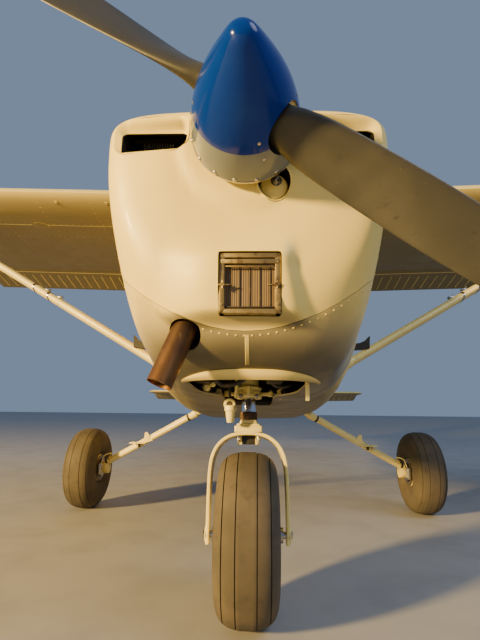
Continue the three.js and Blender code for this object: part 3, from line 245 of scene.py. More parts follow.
# Black for the liner behind the outlet, painted shade for the dark inside of the cowling
surface(
    "shade_black", (0.012, 0.011, 0.010), 0.9,
    stains=(((0.03, 0.026, 0.02), 14, 0.5, 0.8, EVEN),), bumps=((120, 0.5, EVEN),),
)
surface(
    "filter_frame", (0.34, 0.26, 0.12), 0.42, metal=0.85,
    stains=(((0.10, 0.07, 0.045), 45, 0.48, 0.75, EVEN), ((0.50, 0.42, 0.27), 110, 0.6, 0.8, EVEN)),
    bumps=((220, 0.1, EVEN),),
)
surface(
    "filter_paper", (0.17, 0.12, 0.075), 0.9,
    stains=(((0.16, 0.12, 0.08), 60, 0.5, 0.8, (1, 1, 0.3)),), bumps=((500, 0.15, EVEN),),
)
surface(
    "heated_steel", (0.15, 0.088, 0.045), 0.42, metal=0.85,
    # Darker towards the top and a lighter orange towards the bottom
    bands=(((0.035, 0.022, 0.015), "Z", 0.90, 0.99), ((0.25, 0.125, 0.048), "Z", 0.90, 0.80)),
    stains=(
        ((0.10, 0.05, 0.03), 18, 0.5, 0.72, (1, 1, 0.5)),
        ((0.46, 0.27, 0.11), 55, 0.62, 0.82, (1, 1, 0.25)),
    ),
    bumps=((240, 0.08, EVEN),),
)
surface(
    "tyre_rubber", (0.075, 0.062, 0.044), 0.85, spread=0.1,
    stains=(((0.12, 0.096, 0.064), 5, 0.35, 0.85, EVEN), ((0.045, 0.04, 0.032), 30, 0.5, 0.9, EVEN)),
    bumps=((900, 0.12, EVEN), (60, 0.3, EVEN)),
)
# Black rubber, also used as painted shade for the inlet throats and the wall behind them
surface(
    "black_rubber_and_shade", (0.022, 0.021, 0.02), 0.6,
    stains=((DUST, 60, 0.66, 0.9, EVEN),), bumps=((600, 0.05, EVEN),),
)
surface(
    "cabin_trim", (0.045, 0.045, 0.048), 0.65,
    stains=(((0.08, 0.078, 0.072), 8, 0.5, 0.8, EVEN),), bumps=((900, 0.08, EVEN),),
)
surface(
    "seat_cloth", (0.17, 0.145, 0.115), 0.92, spread=0.05,
    stains=(((0.23, 0.20, 0.16), 240, 0.5, 0.6, (1, 1, 0.4)), ((0.11, 0.095, 0.08), 7, 0.5, 0.75, EVEN)),
    bumps=((1100, 0.25, EVEN), (40, 1.0, EVEN)),
)
surface(
    "beacon_glass", (0.45, 0.015, 0.01), 0.12, coat=0.6,
    stains=(((0.25, 0.01, 0.008), 40, 0.5, 0.7, EVEN),), bumps=((90, 0.3, EVEN),),
)
surface(
    "green_glass", (0.01, 0.30, 0.09), 0.12, coat=0.6,
    stains=(((0.01, 0.18, 0.06), 60, 0.5, 0.7, EVEN),), bumps=((90, 0.3, EVEN),),
)


def window_look():
    """Lightly tinted acrylic with a little dust in its roughness."""
    look = surface("window", (0.80, 0.86, 0.86), 0.06, spread=0.05, bumps=((3, 0.6, EVEN),))
    shader = look.node_tree.nodes["Principled BSDF"]
    shader.inputs["Transmission Weight"].default_value = 1.0
    shader.inputs["IOR"].default_value = 1.45
    return look


window_look()


# Shapes

def smooth_rows(rows, per_gap):
    """More rows between the given ones, on a curve that never swings past them."""
    rows = np.array(rows, float)
    steps = np.sqrt(np.linalg.norm(np.diff(rows, axis=0), axis=1))
    slopes = np.diff(rows, axis=0) / steps[:, None]
    before, after = slopes[:-1], slopes[1:]
    total = np.where(before + after == 0, 1, before + after)
    between = np.where(before * after > 0, 2 * before * after / total, 0)
    tangents = np.vstack([slopes[0], between, slopes[-1]])
    out = []
    for i, step in enumerate(steps):
        for t in np.linspace(0, 1, per_gap, endpoint=False):
            out.append(
                (2 * t**3 - 3 * t**2 + 1) * rows[i] + (t**3 - 2 * t**2 + t) * step * tangents[i]
                + (3 * t**2 - 2 * t**3) * rows[i + 1] + (t**3 - t**2) * step * tangents[i + 1]
            )
    return [*out, rows[-1]]


def body_ring(row, count):
    """An oval section with squarish corners, its points evenly spaced."""
    y, half, bottom, widest, top, low, high, side = row
    turn = np.linspace(0, 2 * np.pi, 8 * count + 1)
    across, up = np.cos(turn), np.sin(turn)
    power = 2 / np.where(up < 0, low, high)
    rise_power = 2 / np.where(up < 0, side, high)
    reach = np.where(up < 0, widest - bottom, top - widest)
    xs = half * np.sign(across) * np.abs(across) ** power
    zs = widest + reach * np.sign(up) * np.abs(up) ** rise_power
    run = np.concatenate([[0], np.cumsum(np.hypot(np.diff(xs), np.diff(zs)))])
    even = np.linspace(0, run[-1], count, endpoint=False)
    return [place(x, y, z) for x, z in zip(np.interp(even, run, xs), np.interp(even, run, zs))]


def rounded(corners, radius, steps=6):
    """A flat outline with its corners rounded."""
    out = []
    for i, corner in enumerate(corners):
        here = Vector(corner)
        before = (Vector(corners[i - 1]) - here).normalized()
        after = (Vector(corners[(i + 1) % len(corners)]) - here).normalized()
        for k in range(steps + 1):
            t = k / steps
            out.append(tuple(here + before * radius * (1 - t) ** 2 + after * radius * t**2))
    return out


def rectangle(x0, x1, z0, z1):
    """Its corners, in order."""
    return [(x0, z0), (x1, z0), (x1, z1), (x0, z1)]


def corners(a, b):
    """Two opposite corners of a box, lowest first."""
    return (Vector(min(p, q) for p, q in zip(a, b)), Vector(max(p, q) for p, q in zip(a, b)))


def upright(u, v, y):
    """A point of an outline that stands across the aircraft, at station y."""
    return place(u, y, v)


def curve_through(points, per_gap=8):
    """Points of a smooth curve through the given ones."""
    ends = [points[0] * 2 - points[1], *points, points[-1] * 2 - points[-2]]
    out = []
    for p0, p1, p2, p3 in zip(ends, ends[1:], ends[2:], ends[3:]):
        for k in range(per_gap):
            t = k / per_gap
            out.append(0.5 * (2 * p1 + (p2 - p0) * t + (2 * p0 - 5 * p1 + 4 * p2 - p3) * t**2
                              + (3 * p1 - p0 - 3 * p2 + p3) * t**3))
    return [*out, points[-1]]


def stud(radius, wall, top, height):
    """The profile of a round head: its side up to wall, then drawn in to top at its height."""
    return [(0, 0), (radius, 0), (radius, wall), (top, height), (0, height)]


def route(places):
    """A smooth curve through (x, station, z) places."""
    return curve_through([place(*spot) for spot in places])


class Shape:
    """Bodies gathered into one mesh, all in the frame's metres."""

    def __init__(self):
        """Starts with an empty mesh."""
        self.bm = bmesh.new()

    def skin(self, rings, wrap=True, caps=True):
        """A skin through rings with the same number of points."""
        rows = [[self.bm.verts.new(point) for point in ring] for ring in rings]
        count = len(rows[0])
        for near, far in zip(rows, rows[1:]):
            for i in range(count if wrap else count - 1):
                j = (i + 1) % count
                self.bm.faces.new((near[i], near[j], far[j], far[i]))
        if caps:
            self.bm.faces.new(list(reversed(rows[0])))
            self.bm.faces.new(rows[-1])
        return self

    def turned(self, profile, centre, axis=Y_AXIS, sides=48, closed=False):
        """A body turned about axis; profile holds (radius, place along it) in millimetres."""
        side = axis.orthogonal().normalized()
        other = axis.cross(side)
        rings = []
        for radius, along in profile:
            middle = centre + axis * along * MM
            reach = max(radius, 0.01) * MM
            rings.append([
                middle + (side * math.cos(t) + other * math.sin(t)) * reach
                for t in (2 * math.pi * k / sides for k in range(sides))
            ])
        if closed:
            rings.append(rings[0])
        return self.skin(rings, caps=not closed)

    def tube(self, points, radius, sides=12):
        """A round tube along points; radius, in millimetres, is a number or one for each point."""
        radii = radius if isinstance(radius, (list, tuple)) else [radius] * len(points)
        tangents = [(b - a).normalized() for a, b in zip(points, points[1:])]
        between = [(a + b).normalized() for a, b in zip(tangents, tangents[1:])]
        tangents = [tangents[0], *between, tangents[-1]]
        side = tangents[0].orthogonal().normalized()
        rings = []
        for point, tangent, reach in zip(points, tangents, radii):
            side = (side - tangent * side.dot(tangent)).normalized()
            other = tangent.cross(side)
            rings.append([
                point + (side * math.cos(t) + other * math.sin(t)) * reach * MM
                for t in (2 * math.pi * k / sides for k in range(sides))
            ])
        return self.skin(rings)

    def prism(self, outline, to_point, depths):
        """A plate with an outline; to_point(u, v, depth) gives its points."""
        return self.skin([[to_point(u, v, depth) for u, v in outline] for depth in depths])

    def block(self, low, high, bevel=0.0):
        """A box between two corners, its edges rounded by bevel millimetres."""
        size = high - low
        matrix = Matrix.Translation((low + high) / 2) @ Matrix.Diagonal((*size, 1))
        made = bmesh.ops.create_cube(self.bm, size=1, matrix=matrix)
        return self.rounded_edges(made, bevel)

    def bar(self, start, end, width, height, up=Z_AXIS, bevel=0.0):
        """A flat bar from start to end, its width across up."""
        along = end - start
        side = along.cross(up).normalized()
        turn = Matrix((side, along.normalized(), side.cross(along.normalized()))).transposed().to_4x4()
        size = Matrix.Diagonal((width * MM, along.length, height * MM, 1))
        matrix = Matrix.Translation((start + end) / 2) @ turn @ size
        made = bmesh.ops.create_cube(self.bm, size=1, matrix=matrix)
        return self.rounded_edges(made, bevel)

    def rounded_edges(self, made, bevel):
        """Rounds a new box's edges by bevel millimetres."""
        if bevel > 0:
            edges = list({edge for vert in made["verts"] for edge in vert.link_edges})
            bmesh.ops.bevel(
                self.bm, geom=edges, offset=bevel * MM, segments=2, affect="EDGES", profile=0.5)
        return self

    def bolt(self, centre, axis, radius, height=None, sides=6):
        """A hexagon head on its washer, standing on centre."""
        height = height or radius * 0.9
        rim, washer = radius * 1.35, height * 0.2
        self.turned([(0, 0), (rim, 0), (rim, washer), (0, washer)], centre, axis, 16)
        head = [(0, 0), (radius, 0), (radius, height * 0.9), (radius * 0.85, height), (0, height)]
        return self.turned(head, centre + axis * washer * MM, axis, sides)

    def rivets(self, spots, radius=2.6, height=1.1):
        """Low domed heads at (point, outward direction) spots."""
        for point, out in spots:
            self.turned([(radius, -0.4), (radius * 0.8, height * 0.7), (0, height)], point, out, 6)
        return self

    def including(self, other):
        """Adds another shape's mesh to this one."""
        mesh = bpy.data.meshes.new("part")
        other.bm.to_mesh(mesh)
        self.bm.from_mesh(mesh)
        bpy.data.meshes.remove(mesh)
        return self

    def piece(self, name, look, body, *nodes, angle=38, merge=0.00001):
        """Finishes the shape as one piece that rides on a body and stands for CAD nodes."""
        bmesh.ops.remove_doubles(self.bm, verts=self.bm.verts, dist=merge)
        bmesh.ops.recalc_face_normals(self.bm, faces=self.bm.faces)
        mesh = bpy.data.meshes.new(name)
        self.bm.to_mesh(mesh)
        self.bm.free()
        obj = bpy.data.objects.new(name, mesh)
        bpy.context.scene.collection.objects.link(obj)
        mesh.materials.append(LOOKS[look])
        shade(mesh, angle)
        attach(obj, body)
        if nodes:
            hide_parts(*nodes)
        return obj


def shade(mesh, angle):
    """Smooth shading with an edge kept where faces meet at more than angle degrees."""
    bm = bmesh.new()
    bm.from_mesh(mesh)
    for face in bm.faces:
        face.smooth = True
    for edge in bm.edges:
        edge.smooth = len(edge.link_faces) == 2 and edge.calc_face_angle(0) < math.radians(angle)
    bm.to_mesh(mesh)
    bm.free()


def settle(obj, angle=38):
    """Applies the piece's modifiers to its mesh."""
    graph = bpy.context.evaluated_depsgraph_get()
    mesh = bpy.data.meshes.new_from_object(obj.evaluated_get(graph), depsgraph=graph)
    old = obj.data
    obj.modifiers.clear()
    obj.data = mesh
    mesh.name = old.name
    bpy.data.meshes.remove(old)
    shade(mesh, angle)
    return obj


def turn_outward(obj, middle):
    """Turns an open skin's faces away from a point inside it."""
    bm = bmesh.new()
    bm.from_mesh(obj.data)
    bm.normal_update()
    outward = 0
    for face in bm.faces:
        outward += (face.calc_center_median() - middle).dot(face.normal) * face.calc_area()
    if outward < 0:
        bmesh.ops.reverse_faces(bm, faces=bm.faces)
    bm.to_mesh(obj.data)
    bm.free()


def thicken(obj, depth, angle=38):
    """Gives an open skin a wall, depth millimetres inward."""
    wall = obj.modifiers.new("wall", "SOLIDIFY")
    wall.thickness = depth * MM
    wall.offset = -1
    return settle(obj, angle)


def loose(shape):
    """A shape as a bare object, for cutting with."""
    bmesh.ops.remove_doubles(shape.bm, verts=shape.bm.verts, dist=0.00001)
    bmesh.ops.recalc_face_normals(shape.bm, faces=shape.bm.faces)
    mesh = bpy.data.meshes.new("cutter")
    shape.bm.to_mesh(mesh)
    shape.bm.free()
    obj = bpy.data.objects.new("cutter", mesh)
    bpy.context.scene.collection.objects.link(obj)
    return obj


def cut(obj, shape, operation="DIFFERENCE", angle=38):
    """Takes a shape's bodies out of a piece, or keeps only what is in them."""
    cutter = loose(shape)
    modifier = obj.modifiers.new("cut", "BOOLEAN")
    modifier.operation = operation
    modifier.solver = "EXACT"
    modifier.object = cutter
    settle(obj, angle)
    bpy.data.objects.remove(cutter)
    return obj


def tree_of(obj):
    """The piece's faces, for finding points on its skin."""
    bm = bmesh.new()
    bm.from_mesh(obj.data)
    tree = BVHTree.FromBMesh(bm)
    bm.free()
    return tree


def on_skin(tree, start, direction):
    """Where a ray meets a skin, with the outward direction there."""
    point, normal, _, _ = tree.ray_cast(start, direction)
    if point is None:
        return None
    return point, (normal if normal.dot(direction) < 0 else -normal)


# Camera, floor and light

CAMERA_SPOT = place(30, -1920, 725)
CAMERA_LENS = 24.98
CAMERA_HEADING = 2.2  # degrees, as the two below
CAMERA_PITCH = 101.34  # 90 would look level
CAMERA_ROLL = 0.6
LIGHTS = (
    # name, spot, target, size in metres, watts, colour
    ("key", (-9.9, -10.9, 3.7), (0, -2.5, 1.2), 1.3, 5900, (1.0, 0.66, 0.20)),
    ("fill", (6, -6, 8), (0, 0, 1), 6, 380, (0.90, 0.93, 1.0)),
)


def add_camera():
    """The photographer knelt just ahead of the nose wheel and looked a little up."""
    camera = bpy.data.cameras.new("camera")
    camera.lens = CAMERA_LENS
    camera.clip_start = 0.02
    camera.clip_end = 200
    obj = bpy.data.objects.new("camera", camera)
    bpy.context.scene.collection.objects.link(obj)
    turns = ((CAMERA_HEADING, "Z"), (CAMERA_PITCH, "X"), (CAMERA_ROLL, "Z"))
    heading, pitch, roll = (Matrix.Rotation(math.radians(angle), 3, axis) for angle, axis in turns)
    obj.rotation_euler = (heading @ pitch @ roll).to_euler()
    obj.location = CAMERA_SPOT
    bpy.context.scene.camera = obj


def add_light(name, spot, target, size, power, colour):
    """One large soft lamp that faces its target."""
    light = bpy.data.lights.new(name, "AREA")
    light.shape = "DISK"
    light.size = size
    light.energy = power
    light.color = colour
    obj = bpy.data.objects.new(name, light)
    bpy.context.scene.collection.objects.link(obj)
    obj.location = spot
    obj.rotation_euler = (Vector(target) - Vector(spot)).to_track_quat("-Z", "Y").to_euler()


def add_studio():
    """A plain pale floor, a pale room, and a warm key from low on the left with a cool fill."""
    world = bpy.data.worlds.new("room")
    bpy.context.scene.world = world
    world.use_nodes = True
    background = world.node_tree.nodes["Background"]
    background.inputs["Color"].default_value = (0.50, 0.68, 1.0, 1)
    background.inputs["Strength"].default_value = 0.37
    floor_look = surface("floor_paint", (0.36, 0.355, 0.35), 0.7, bumps=((40, 0.3, EVEN),))
    bm = bmesh.new()
    bmesh.ops.create_grid(bm, x_segments=2, y_segments=2, size=60)
    mesh = bpy.data.meshes.new("floor")
    bm.to_mesh(mesh)
    bm.free()
    mesh.materials.append(floor_look)
    floor = bpy.data.objects.new("floor", mesh)
    bpy.context.scene.collection.objects.link(floor)
    for light in LIGHTS:
        add_light(*light)


add_camera()
add_studio()


# Cowling

COWL_ROWS = [
    # y, half width, bottom, widest, top, flatness below, squareness above, roundness of the lower sides
    [-811, 92, 1350, 1450, 1545, 2, 2, 2],
    [-810, 215, 1170, 1440, 1505, 2.2, 2.6, 2.2],
    [-800, 305, 1050, 1435, 1530, 2.2, 3.4, 2.2],
    [-782, 372, 985, 1445, 1566, 2.3, 4.2, 2.1],
    [-740, 408, 912, 1458, 1590, 2.7, 4.8, 1.9],
    [-660, 424, 846, 1450, 1603, 3.8, 4.8, 1.6],
    [-520, 438, 804, 1440, 1616, 5, 4.6, 1.4],
    [-250, 464, 768, 1410, 1638, 5, 4.4, 1.5],
    [-2.5, 492, 738, 1370, 1658, 3, 4.2, 3],
]
SKIN = 5
BOWL_BACK = -640
COVER_SPLIT = 1270
HUB = place(0, -970, 1450)
INLET = {"x0": 158, "x1": 384, "z0": 1428, "z1": 1552, "corner": 50}
INLET_MOUTH = {"x0": 170, "x1": 362, "z0": 1432, "z1": 1514, "corner": 20}
RECESS = 58  # how far the mouth's top edge lies behind its bottom edge
FILTER = {"x": 12, "half": 80, "z0": 964, "z1": 1122, "face": -805}
FILTER_LEAN = 0.1  # how much further forward its face stands for each unit up
STARTER = {"x": 76, "z": 1329, "radius": 46, "rise": 55}
OUTLET = {"half": 198, "y0": -560, "y1": -330, "neck": 92}
EXHAUST = {"bend": place(-135, -694, 1036), "end": place(-226, -752, 786), "radius": 35}
BULGE_END = -735  # the station behind which the bowl has neither collar nor chin
COLLAR = {"depth": 10, "edge": (174, 200)}
CHIN = {
    "depth": 28, "left": (84, 134), "right": (88, 250), "bottom": (934, 984), "top": (1108, 1186),
    "spread": 0.35, "spread_from": 1090,
}


def smoothstep(value, low, high):
    """0 up to low, 1 from high on, and a smooth rise between them."""
    t = min(1, max(0, (value - low) / (high - low)))
    return t * t * (3 - 2 * t)


def bowl_push(point):
    """How far the bowl's front stands forward: a collar round the spinner and a chin round the filter."""
    if point.y > place(0, BULGE_END, 0).y:
        return 0
    x, z = point.x / MM, point.z / MM
    reach = math.hypot(point.x, point.z - HUB.z) / MM
    collar = 1 - smoothstep(reach, *COLLAR["edge"])
    spread = CHIN["spread"] * max(0, CHIN["spread_from"] - z)
    crest, foot = CHIN["right"] if x < FILTER["x"] else CHIN["left"]
    chin = 1 - smoothstep(abs(x - FILTER["x"]), crest + spread / 2, foot + spread)
    chin *= (1 - smoothstep(z, *CHIN["top"])) * smoothstep(z, *CHIN["bottom"])
    return (COLLAR["depth"] * collar + CHIN["depth"] * chin) * MM


def cowl_skin():
    """The whole cowling's outside as one open skin."""
    rings = [body_ring(row, 200) for row in smooth_rows(COWL_ROWS, 9)]
    for ring in rings:
        for point in ring:
            point.y -= bowl_push(point)
    return Shape().skin(rings, caps=False)


def prism_y(outline, y0, y1):
    """An upright outline's body between two stations."""
    return Shape().prism(outline, upright, (y0, y1))


def seam_level(x):
    """The height of the bowl's lower edge, which rises to the sides."""
    return 929 + 0.00125 * x * x


def bowl_zone(gap):
    """Ahead of the bowl's back and above its lower edge; gap moves both edges inward."""
    across = [-700 + 50 * i for i in range(29)]
    outline = [(x, seam_level(x) + gap) for x in across] + [(700, 1900), (-700, 1900)]
    return prism_y(outline, -900, BOWL_BACK - gap)


def upper_zone():
    """Behind the bowl, above the level where the covers part."""
    return Shape().block(place(-700, BOWL_BACK + 0.5, COVER_SPLIT + 0.5), place(700, 50, 1900))


def lower_zone():
    """Everything below the level where the covers part."""
    return Shape().block(place(-700, -900, 500), place(700, 50, COVER_SPLIT - 0.5))


def inlet_outline(spec, side):
    """A cooling inlet's rounded outline on one side."""
    outline = rounded(rectangle(spec["x0"], spec["x1"], spec["z0"], spec["z1"]), spec["corner"], 8)
    return [(side * u, v) for u, v in outline]


def starter_outline():
    """The round hole by the spinner, a little taller than wide."""
    x, z, across, rise = STARTER.values()
    turns = [2 * math.pi * k / 64 for k in range(64)]
    return [(x + across * math.cos(t), z + rise * math.sin(t)) for t in turns]


def cowl_cutters():
    """Everything that is open in the cowling's front."""
    shape = Shape()
    for side, _ in SIDES:
        shape.including(prism_y(inlet_outline(INLET, side), -950, -650))
    x, half = FILTER["x"], FILTER["half"] + 2
    mouth = rounded(rectangle(x - half, x + half, FILTER["z0"] - 2, FILTER["z1"] + 3), 8, 4)
    shape.including(prism_y(mouth, -950, -650))
    shape.including(prism_y(starter_outline(), -950, -650))
    along = (EXHAUST["end"] - EXHAUST["bend"]).normalized()
    aside = X_AXIS * 0.009 - Y_AXIS * 0.006
    middle = EXHAUST["bend"] + aside
    shape.tube([middle - along * 0.05, middle + along * 0.2], EXHAUST["radius"] + 11, 40)
    half, front, back, neck = OUTLET.values()
    outlet = [(-half, front), (half, front), (half - 30, back), (neck, back + 60),
              (neck, 10), (-neck, 10), (-neck, back + 60), (30 - half, back)]
    return shape.prism(rounded(outlet, 40, 6), place, (640, 900))


def add_cowling():
    """The bowl, the upper cover and the lower cover, cut from one skin with a fine gap between them."""
    whole = cowl_skin().piece("cowling", "cream_paint", "airframe")
    turn_outward(whole, place(0, -400, 1200))
    tree = tree_of(whole)
    thicken(whole, SKIN)
    cut(whole, cowl_cutters())
    parts = (
        ("nose_bowl_skin", "nose_bowl", ((bowl_zone(0.6), "INTERSECT"),)),
        ("upper_cowl_skin", "cowl_upper", ((upper_zone(), "INTERSECT"),)),
        ("lower_cowl_skin", "cowl_lower", ((lower_zone(), "INTERSECT"), (bowl_zone(-0.6), "DIFFERENCE"))),
    )
    for name, node, steps in parts:
        skin = whole.copy()
        skin.data = whole.data.copy()
        skin.name = name
        skin.data.name = name
        bpy.context.scene.collection.objects.link(skin)
        for shape, operation in steps:
            cut(skin, shape, operation)
        # The lower cover takes the darker belly paint, with its painted shade
        if name == "lower_cowl_skin":
            skin.data.materials[0] = LOOKS["belly_paint"]
        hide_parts(node)
    bpy.data.objects.remove(whole)
    return tree


COWL_TREE = add_cowling()


FINS = {"count": 12, "from": 230, "pitch": 8.1}


def inlet_rings(side):
    """Rings from the lip's edge to the mouth, whose bottom edge is flush and whose top lies back."""
    outer = inlet_outline(INLET, side)
    inner = inlet_outline(INLET_MOUTH, side)
    hits = [on_skin(COWL_TREE, place(u, -1100, v), Y_AXIS) for u, v in outer]
    front = [hit[0].y / MM - STATION_SHIFT if hit else -770 for hit in hits]
    flush = min(front) + 3
    rings = []
    for t in (0.0, 0.05, 0.15, 0.3, 0.5, 0.7, 0.85, 1.0):
        ring = []
        for (u, v), (p, q), y in zip(outer, inner, front):
            rise = (q - INLET_MOUTH["z0"]) / (INLET_MOUTH["z1"] - INLET_MOUTH["z0"])
            back = max(y, flush + RECESS * rise)
            ring.append(place(u + (p - u) * t, y + (back - y) * smoothstep(t, 0, 1), v + (q - v) * t))
        rings.append(ring)
    return rings


def add_inlets():
    """The recess behind each lip, a black sleeve in the throat as painted shade, and the fins within."""
    for side, hand in SIDES:
        rings = inlet_rings(side)
        recess = Shape().skin(rings, caps=False).piece(f"inlet_recess_{hand}", "cream_paint", "airframe")
        thicken(recess, -2)
        # The throat's black sleeve is painted shade for the dark inside of the inlet
        inward = (Y_AXIS + Z_AXIS * 0.55) * MM
        throat = [[point + inward * back for point in rings[-1]] for back in (0.5, 30, 120)]
        tube = Shape().skin(throat, caps=False).piece(f"inlet_shade_sleeve_{hand}", "black_rubber_and_shade", "airframe")
        thicken(tube, -2)
        fins = Shape()
        for i in range(FINS["count"]):
            x = side * (FINS["from"] + i * FINS["pitch"])
            fins.block(place(x - 1.1, -690, 1424), place(x + 1.1, -640, 1526))
        fins.block(*corners(place(side * 198, -676, 1424), place(side * 300, -636, 1434)), 2)
        fins.piece(f"cylinder_fins_{hand}", "aluminium", "airframe")
    # A black wall behind the inlets, painted shade for the dark inside of the cowling
    shade_wall = Shape().block(place(-385, -610, 1200), place(385, -600, 1580), 3)
    shade_wall.piece("black_shade_wall", "black_rubber_and_shade", "airframe")


add_inlets()


# Spinner and propeller

PROP_TURN = math.radians(35)
PROP_RADIUS = 965
SPINNER = {"radius": 145.5, "nose": 226, "base": 121}
SPINNER_WALL = 2.5
BLADE_BELLY = 0.62  # how much flatter a blade's section is on its rear face
BLADE_ROWS = [
    # radius, chord, thickness, pitch in degrees
    [58, 92, 84, 56],
    [110, 104, 76, 54],
    [150, 122, 56, 48],
    [220, 138, 38, 42],
    [300, 144, 27, 38],
    [520, 150, 17, 28],
    [740, 140, 12, 19],
    [880, 112, 9, 16],
    [945, 80, 7, 15],
    [PROP_RADIUS, 40, 4, 15],
]


def spinner_profile(steps, inset=0.0):
    """Radius and place along the axis, from the tip to the base."""
    out = []
    for i in range(steps + 1):
        share = (i / steps) ** 1.7
        length = SPINNER["nose"] + SPINNER["base"] - inset
        power = 0.81 - 0.31 * math.exp(-share / 0.094)
        radius = (SPINNER["radius"] - inset) * (1 - (1 - share) ** 1.91) ** power
        out.append((radius, -SPINNER["nose"] + inset + length * share))
    return out


def blade_line(direction):
    """The directions along a blade and across it, in the propeller's plane."""
    sin, cos = math.sin(PROP_TURN) * direction, math.cos(PROP_TURN) * direction
    return Vector((cos, 0, -sin)), Vector((sin, 0, cos))


def airfoil(count):
    """Points of a blade's section: chordwise -1 to 1 from the back edge to the front, and thickness."""
    out = []
    for i in range(count):
        turn = 2 * math.pi * i / count
        bulge = math.sin(turn) * (1 + math.cos(turn) * 0.25)
        out.append((math.cos(turn), bulge * (BLADE_BELLY if bulge < 0 else 1)))
    return out


def add_spinner():
    """A thin shell with round cuts for the blades, its screws, and a bright rim at its base."""
    outside = spinner_profile(56)
    inside = list(reversed(spinner_profile(20, SPINNER_WALL)))
    base = (SPINNER["radius"] - SPINNER_WALL, SPINNER["base"])
    shell = Shape().turned([*outside, base, *inside[1:]], HUB, Y_AXIS, 96)
    spinner = shell.piece("spinner_shell", "spinner_paint", "propeller", "spinner")
    slots = Shape()
    for direction, _ in SIDES:
        along, _ = blade_line(direction)
        slots.tube([HUB + along * 0.075, HUB + along * 0.3], 62, 48)
    cut(spinner, slots)
    screws = Shape()
    for i in range(16):
        turn = 2 * math.pi * (i + 0.5) / 16
        out = Vector((math.cos(turn), 0, math.sin(turn)))
        spot = HUB + Y_AXIS * (SPINNER["base"] - 15) * MM + out * (SPINNER["radius"] - 0.3) * MM
        screws.turned([(6.4, -0.5), (6.2, 1.2), (4.4, 3.0), (0, 3.4)], spot, out, 12)
    for direction, _ in SIDES:
        along, across = blade_line(direction)
        for side in (-1, 1):
            for back in (-18, 34):
                spot = HUB + across * side * 0.078 + along * 0.2 + Y_AXIS * back * MM
                hit = on_skin(tree_of(spinner), spot, -along)
                if hit:
                    screws.turned([(4.4, -0.5), (4.2, 0.7), (2.8, 1.7), (0, 2.0)], *hit, 12)
    screws.piece("spinner_screws", "steel", "propeller")
    edge = SPINNER["radius"]
    ring = [(edge - 0.5, 0), (edge + 1.5, 0), (edge + 1.5, 6), (edge - 3, 7.5), (edge - 3, 0)]
    rim = Shape().turned(ring, HUB + Y_AXIS * (SPINNER["base"] - 7.5) * MM, Y_AXIS, 96, closed=True)
    rim.piece("spinner_rim", "aluminium", "propeller")


def add_blades():
    """Two blades with round shanks in a hub, in dark paint with small pale flecks."""
    rows = smooth_rows(BLADE_ROWS, 7)
    section = airfoil(40)
    for direction, hand in SIDES:
        along, across = blade_line(direction)
        rings = []
        for radius, chord, thickness, pitch in rows:
            turn = math.radians(pitch)
            chord_line = across * math.cos(turn) - Y_AXIS * math.sin(turn)
            thick_line = along.cross(chord_line).normalized()
            round_part = 1 - smoothstep(radius, 105, 260)
            ring = []
            for place_along, rise in section:
                turn_back = math.copysign(math.sqrt(max(0, 1 - place_along**2)), rise)
                height = round_part * turn_back + (1 - round_part) * rise
                ring.append(HUB + along * radius * MM + chord_line * (chord / 2) * place_along * MM
                            + thick_line * (thickness / 2) * height * MM)
            rings.append(ring)
        nodes = ("propeller",) if hand == "left" else ()
        Shape().skin(rings).piece(f"blade_{hand}", "blade_paint", "propeller", *nodes)
    hub = Shape().turned([(0, -48), (58, -48), (66, -40), (66, 40), (58, 48), (0, 48)], HUB, Y_AXIS, 40)
    for direction, _ in SIDES:
        along, _ = blade_line(direction)
        hub.turned([(58, 52), (58, 74), (54, 78), (0, 78)], HUB, along, 32)
    hub.piece("propeller_hub", "aluminium", "propeller")


add_spinner()
add_blades()


# Air filter, starter and exhaust

PLEATS = 44


def lean(obj):
    """Leans one of the filter's pieces forward, as its face stands."""
    for vert in obj.data.vertices:
        vert.co.y -= (vert.co.z - FILTER["z0"] * MM) * FILTER_LEAN


def add_filter_frame():
    """A metal frame with mitred corners and a wide bar across its top."""
    x, half, z0, z1, face = FILTER.values()
    left, right = x - half, x + half
    rails = ((left, left + 15, z0, z1), (right - 15, right, z0, z1),
             (left, right, z0, z0 + 13), (left, right, z1 - 13, z1))
    top_bars = ((left + 5, right - 5, z1 - 29, z1 - 17), (left + 17, right - 17, z1 - 38, z1 - 34))
    shape = Shape()
    for u0, u1, v0, v1 in rails:
        shape.block(place(u0, face - 8, v0), place(u1, face + 30, v1), 2.5)
    for u0, u1, v0, v1 in top_bars:
        shape.block(place(u0, face - 10, v0), place(u1, face - 2, v1), 1.6)
    for u, v in ((left, z0), (left, z1), (right, z0), (right, z1)):
        aside = 1 if u == left else -1
        up = 1 if v == z0 else -1
        start = place(u + aside * 2, face - 8.6, v + up * 2)
        end = place(u + aside * 16, face - 8.6, v + up * 14)
        shape.bar(start, end, 1.5, 1.2)
        shape.bolt(place(u + aside * 8, face - 8, v + up * 24), -Y_AXIS, 2.6, 2, 12)
    lean(shape.piece("filter_frame", "filter_frame", "airframe", "air_filter"))


def add_filter_clips():
    """A flat clip on each side, with a knob and its cross pin."""
    x, half, z0, z1, face = FILTER.values()
    middle = (z0 + z1) / 2 - 6
    clips = Shape()
    for side in (-1, 1):
        edge = x + side * (half - 4)
        knob = edge - side * 6
        start = place(edge + side * 6, face - 11, middle)
        clips.bar(start, place(edge - side * 30, face - 11, middle), 9, 3, bevel=0.8)
        clips.turned(stud(7, 5, 5, 8), place(knob, face - 10, middle), -Y_AXIS, 16)
        clips.tube([place(knob, face - 16, middle - 9), place(knob, face - 16, middle + 9)], 2, 8)
    lean(clips.piece("filter_clips", "filter_frame", "airframe"))


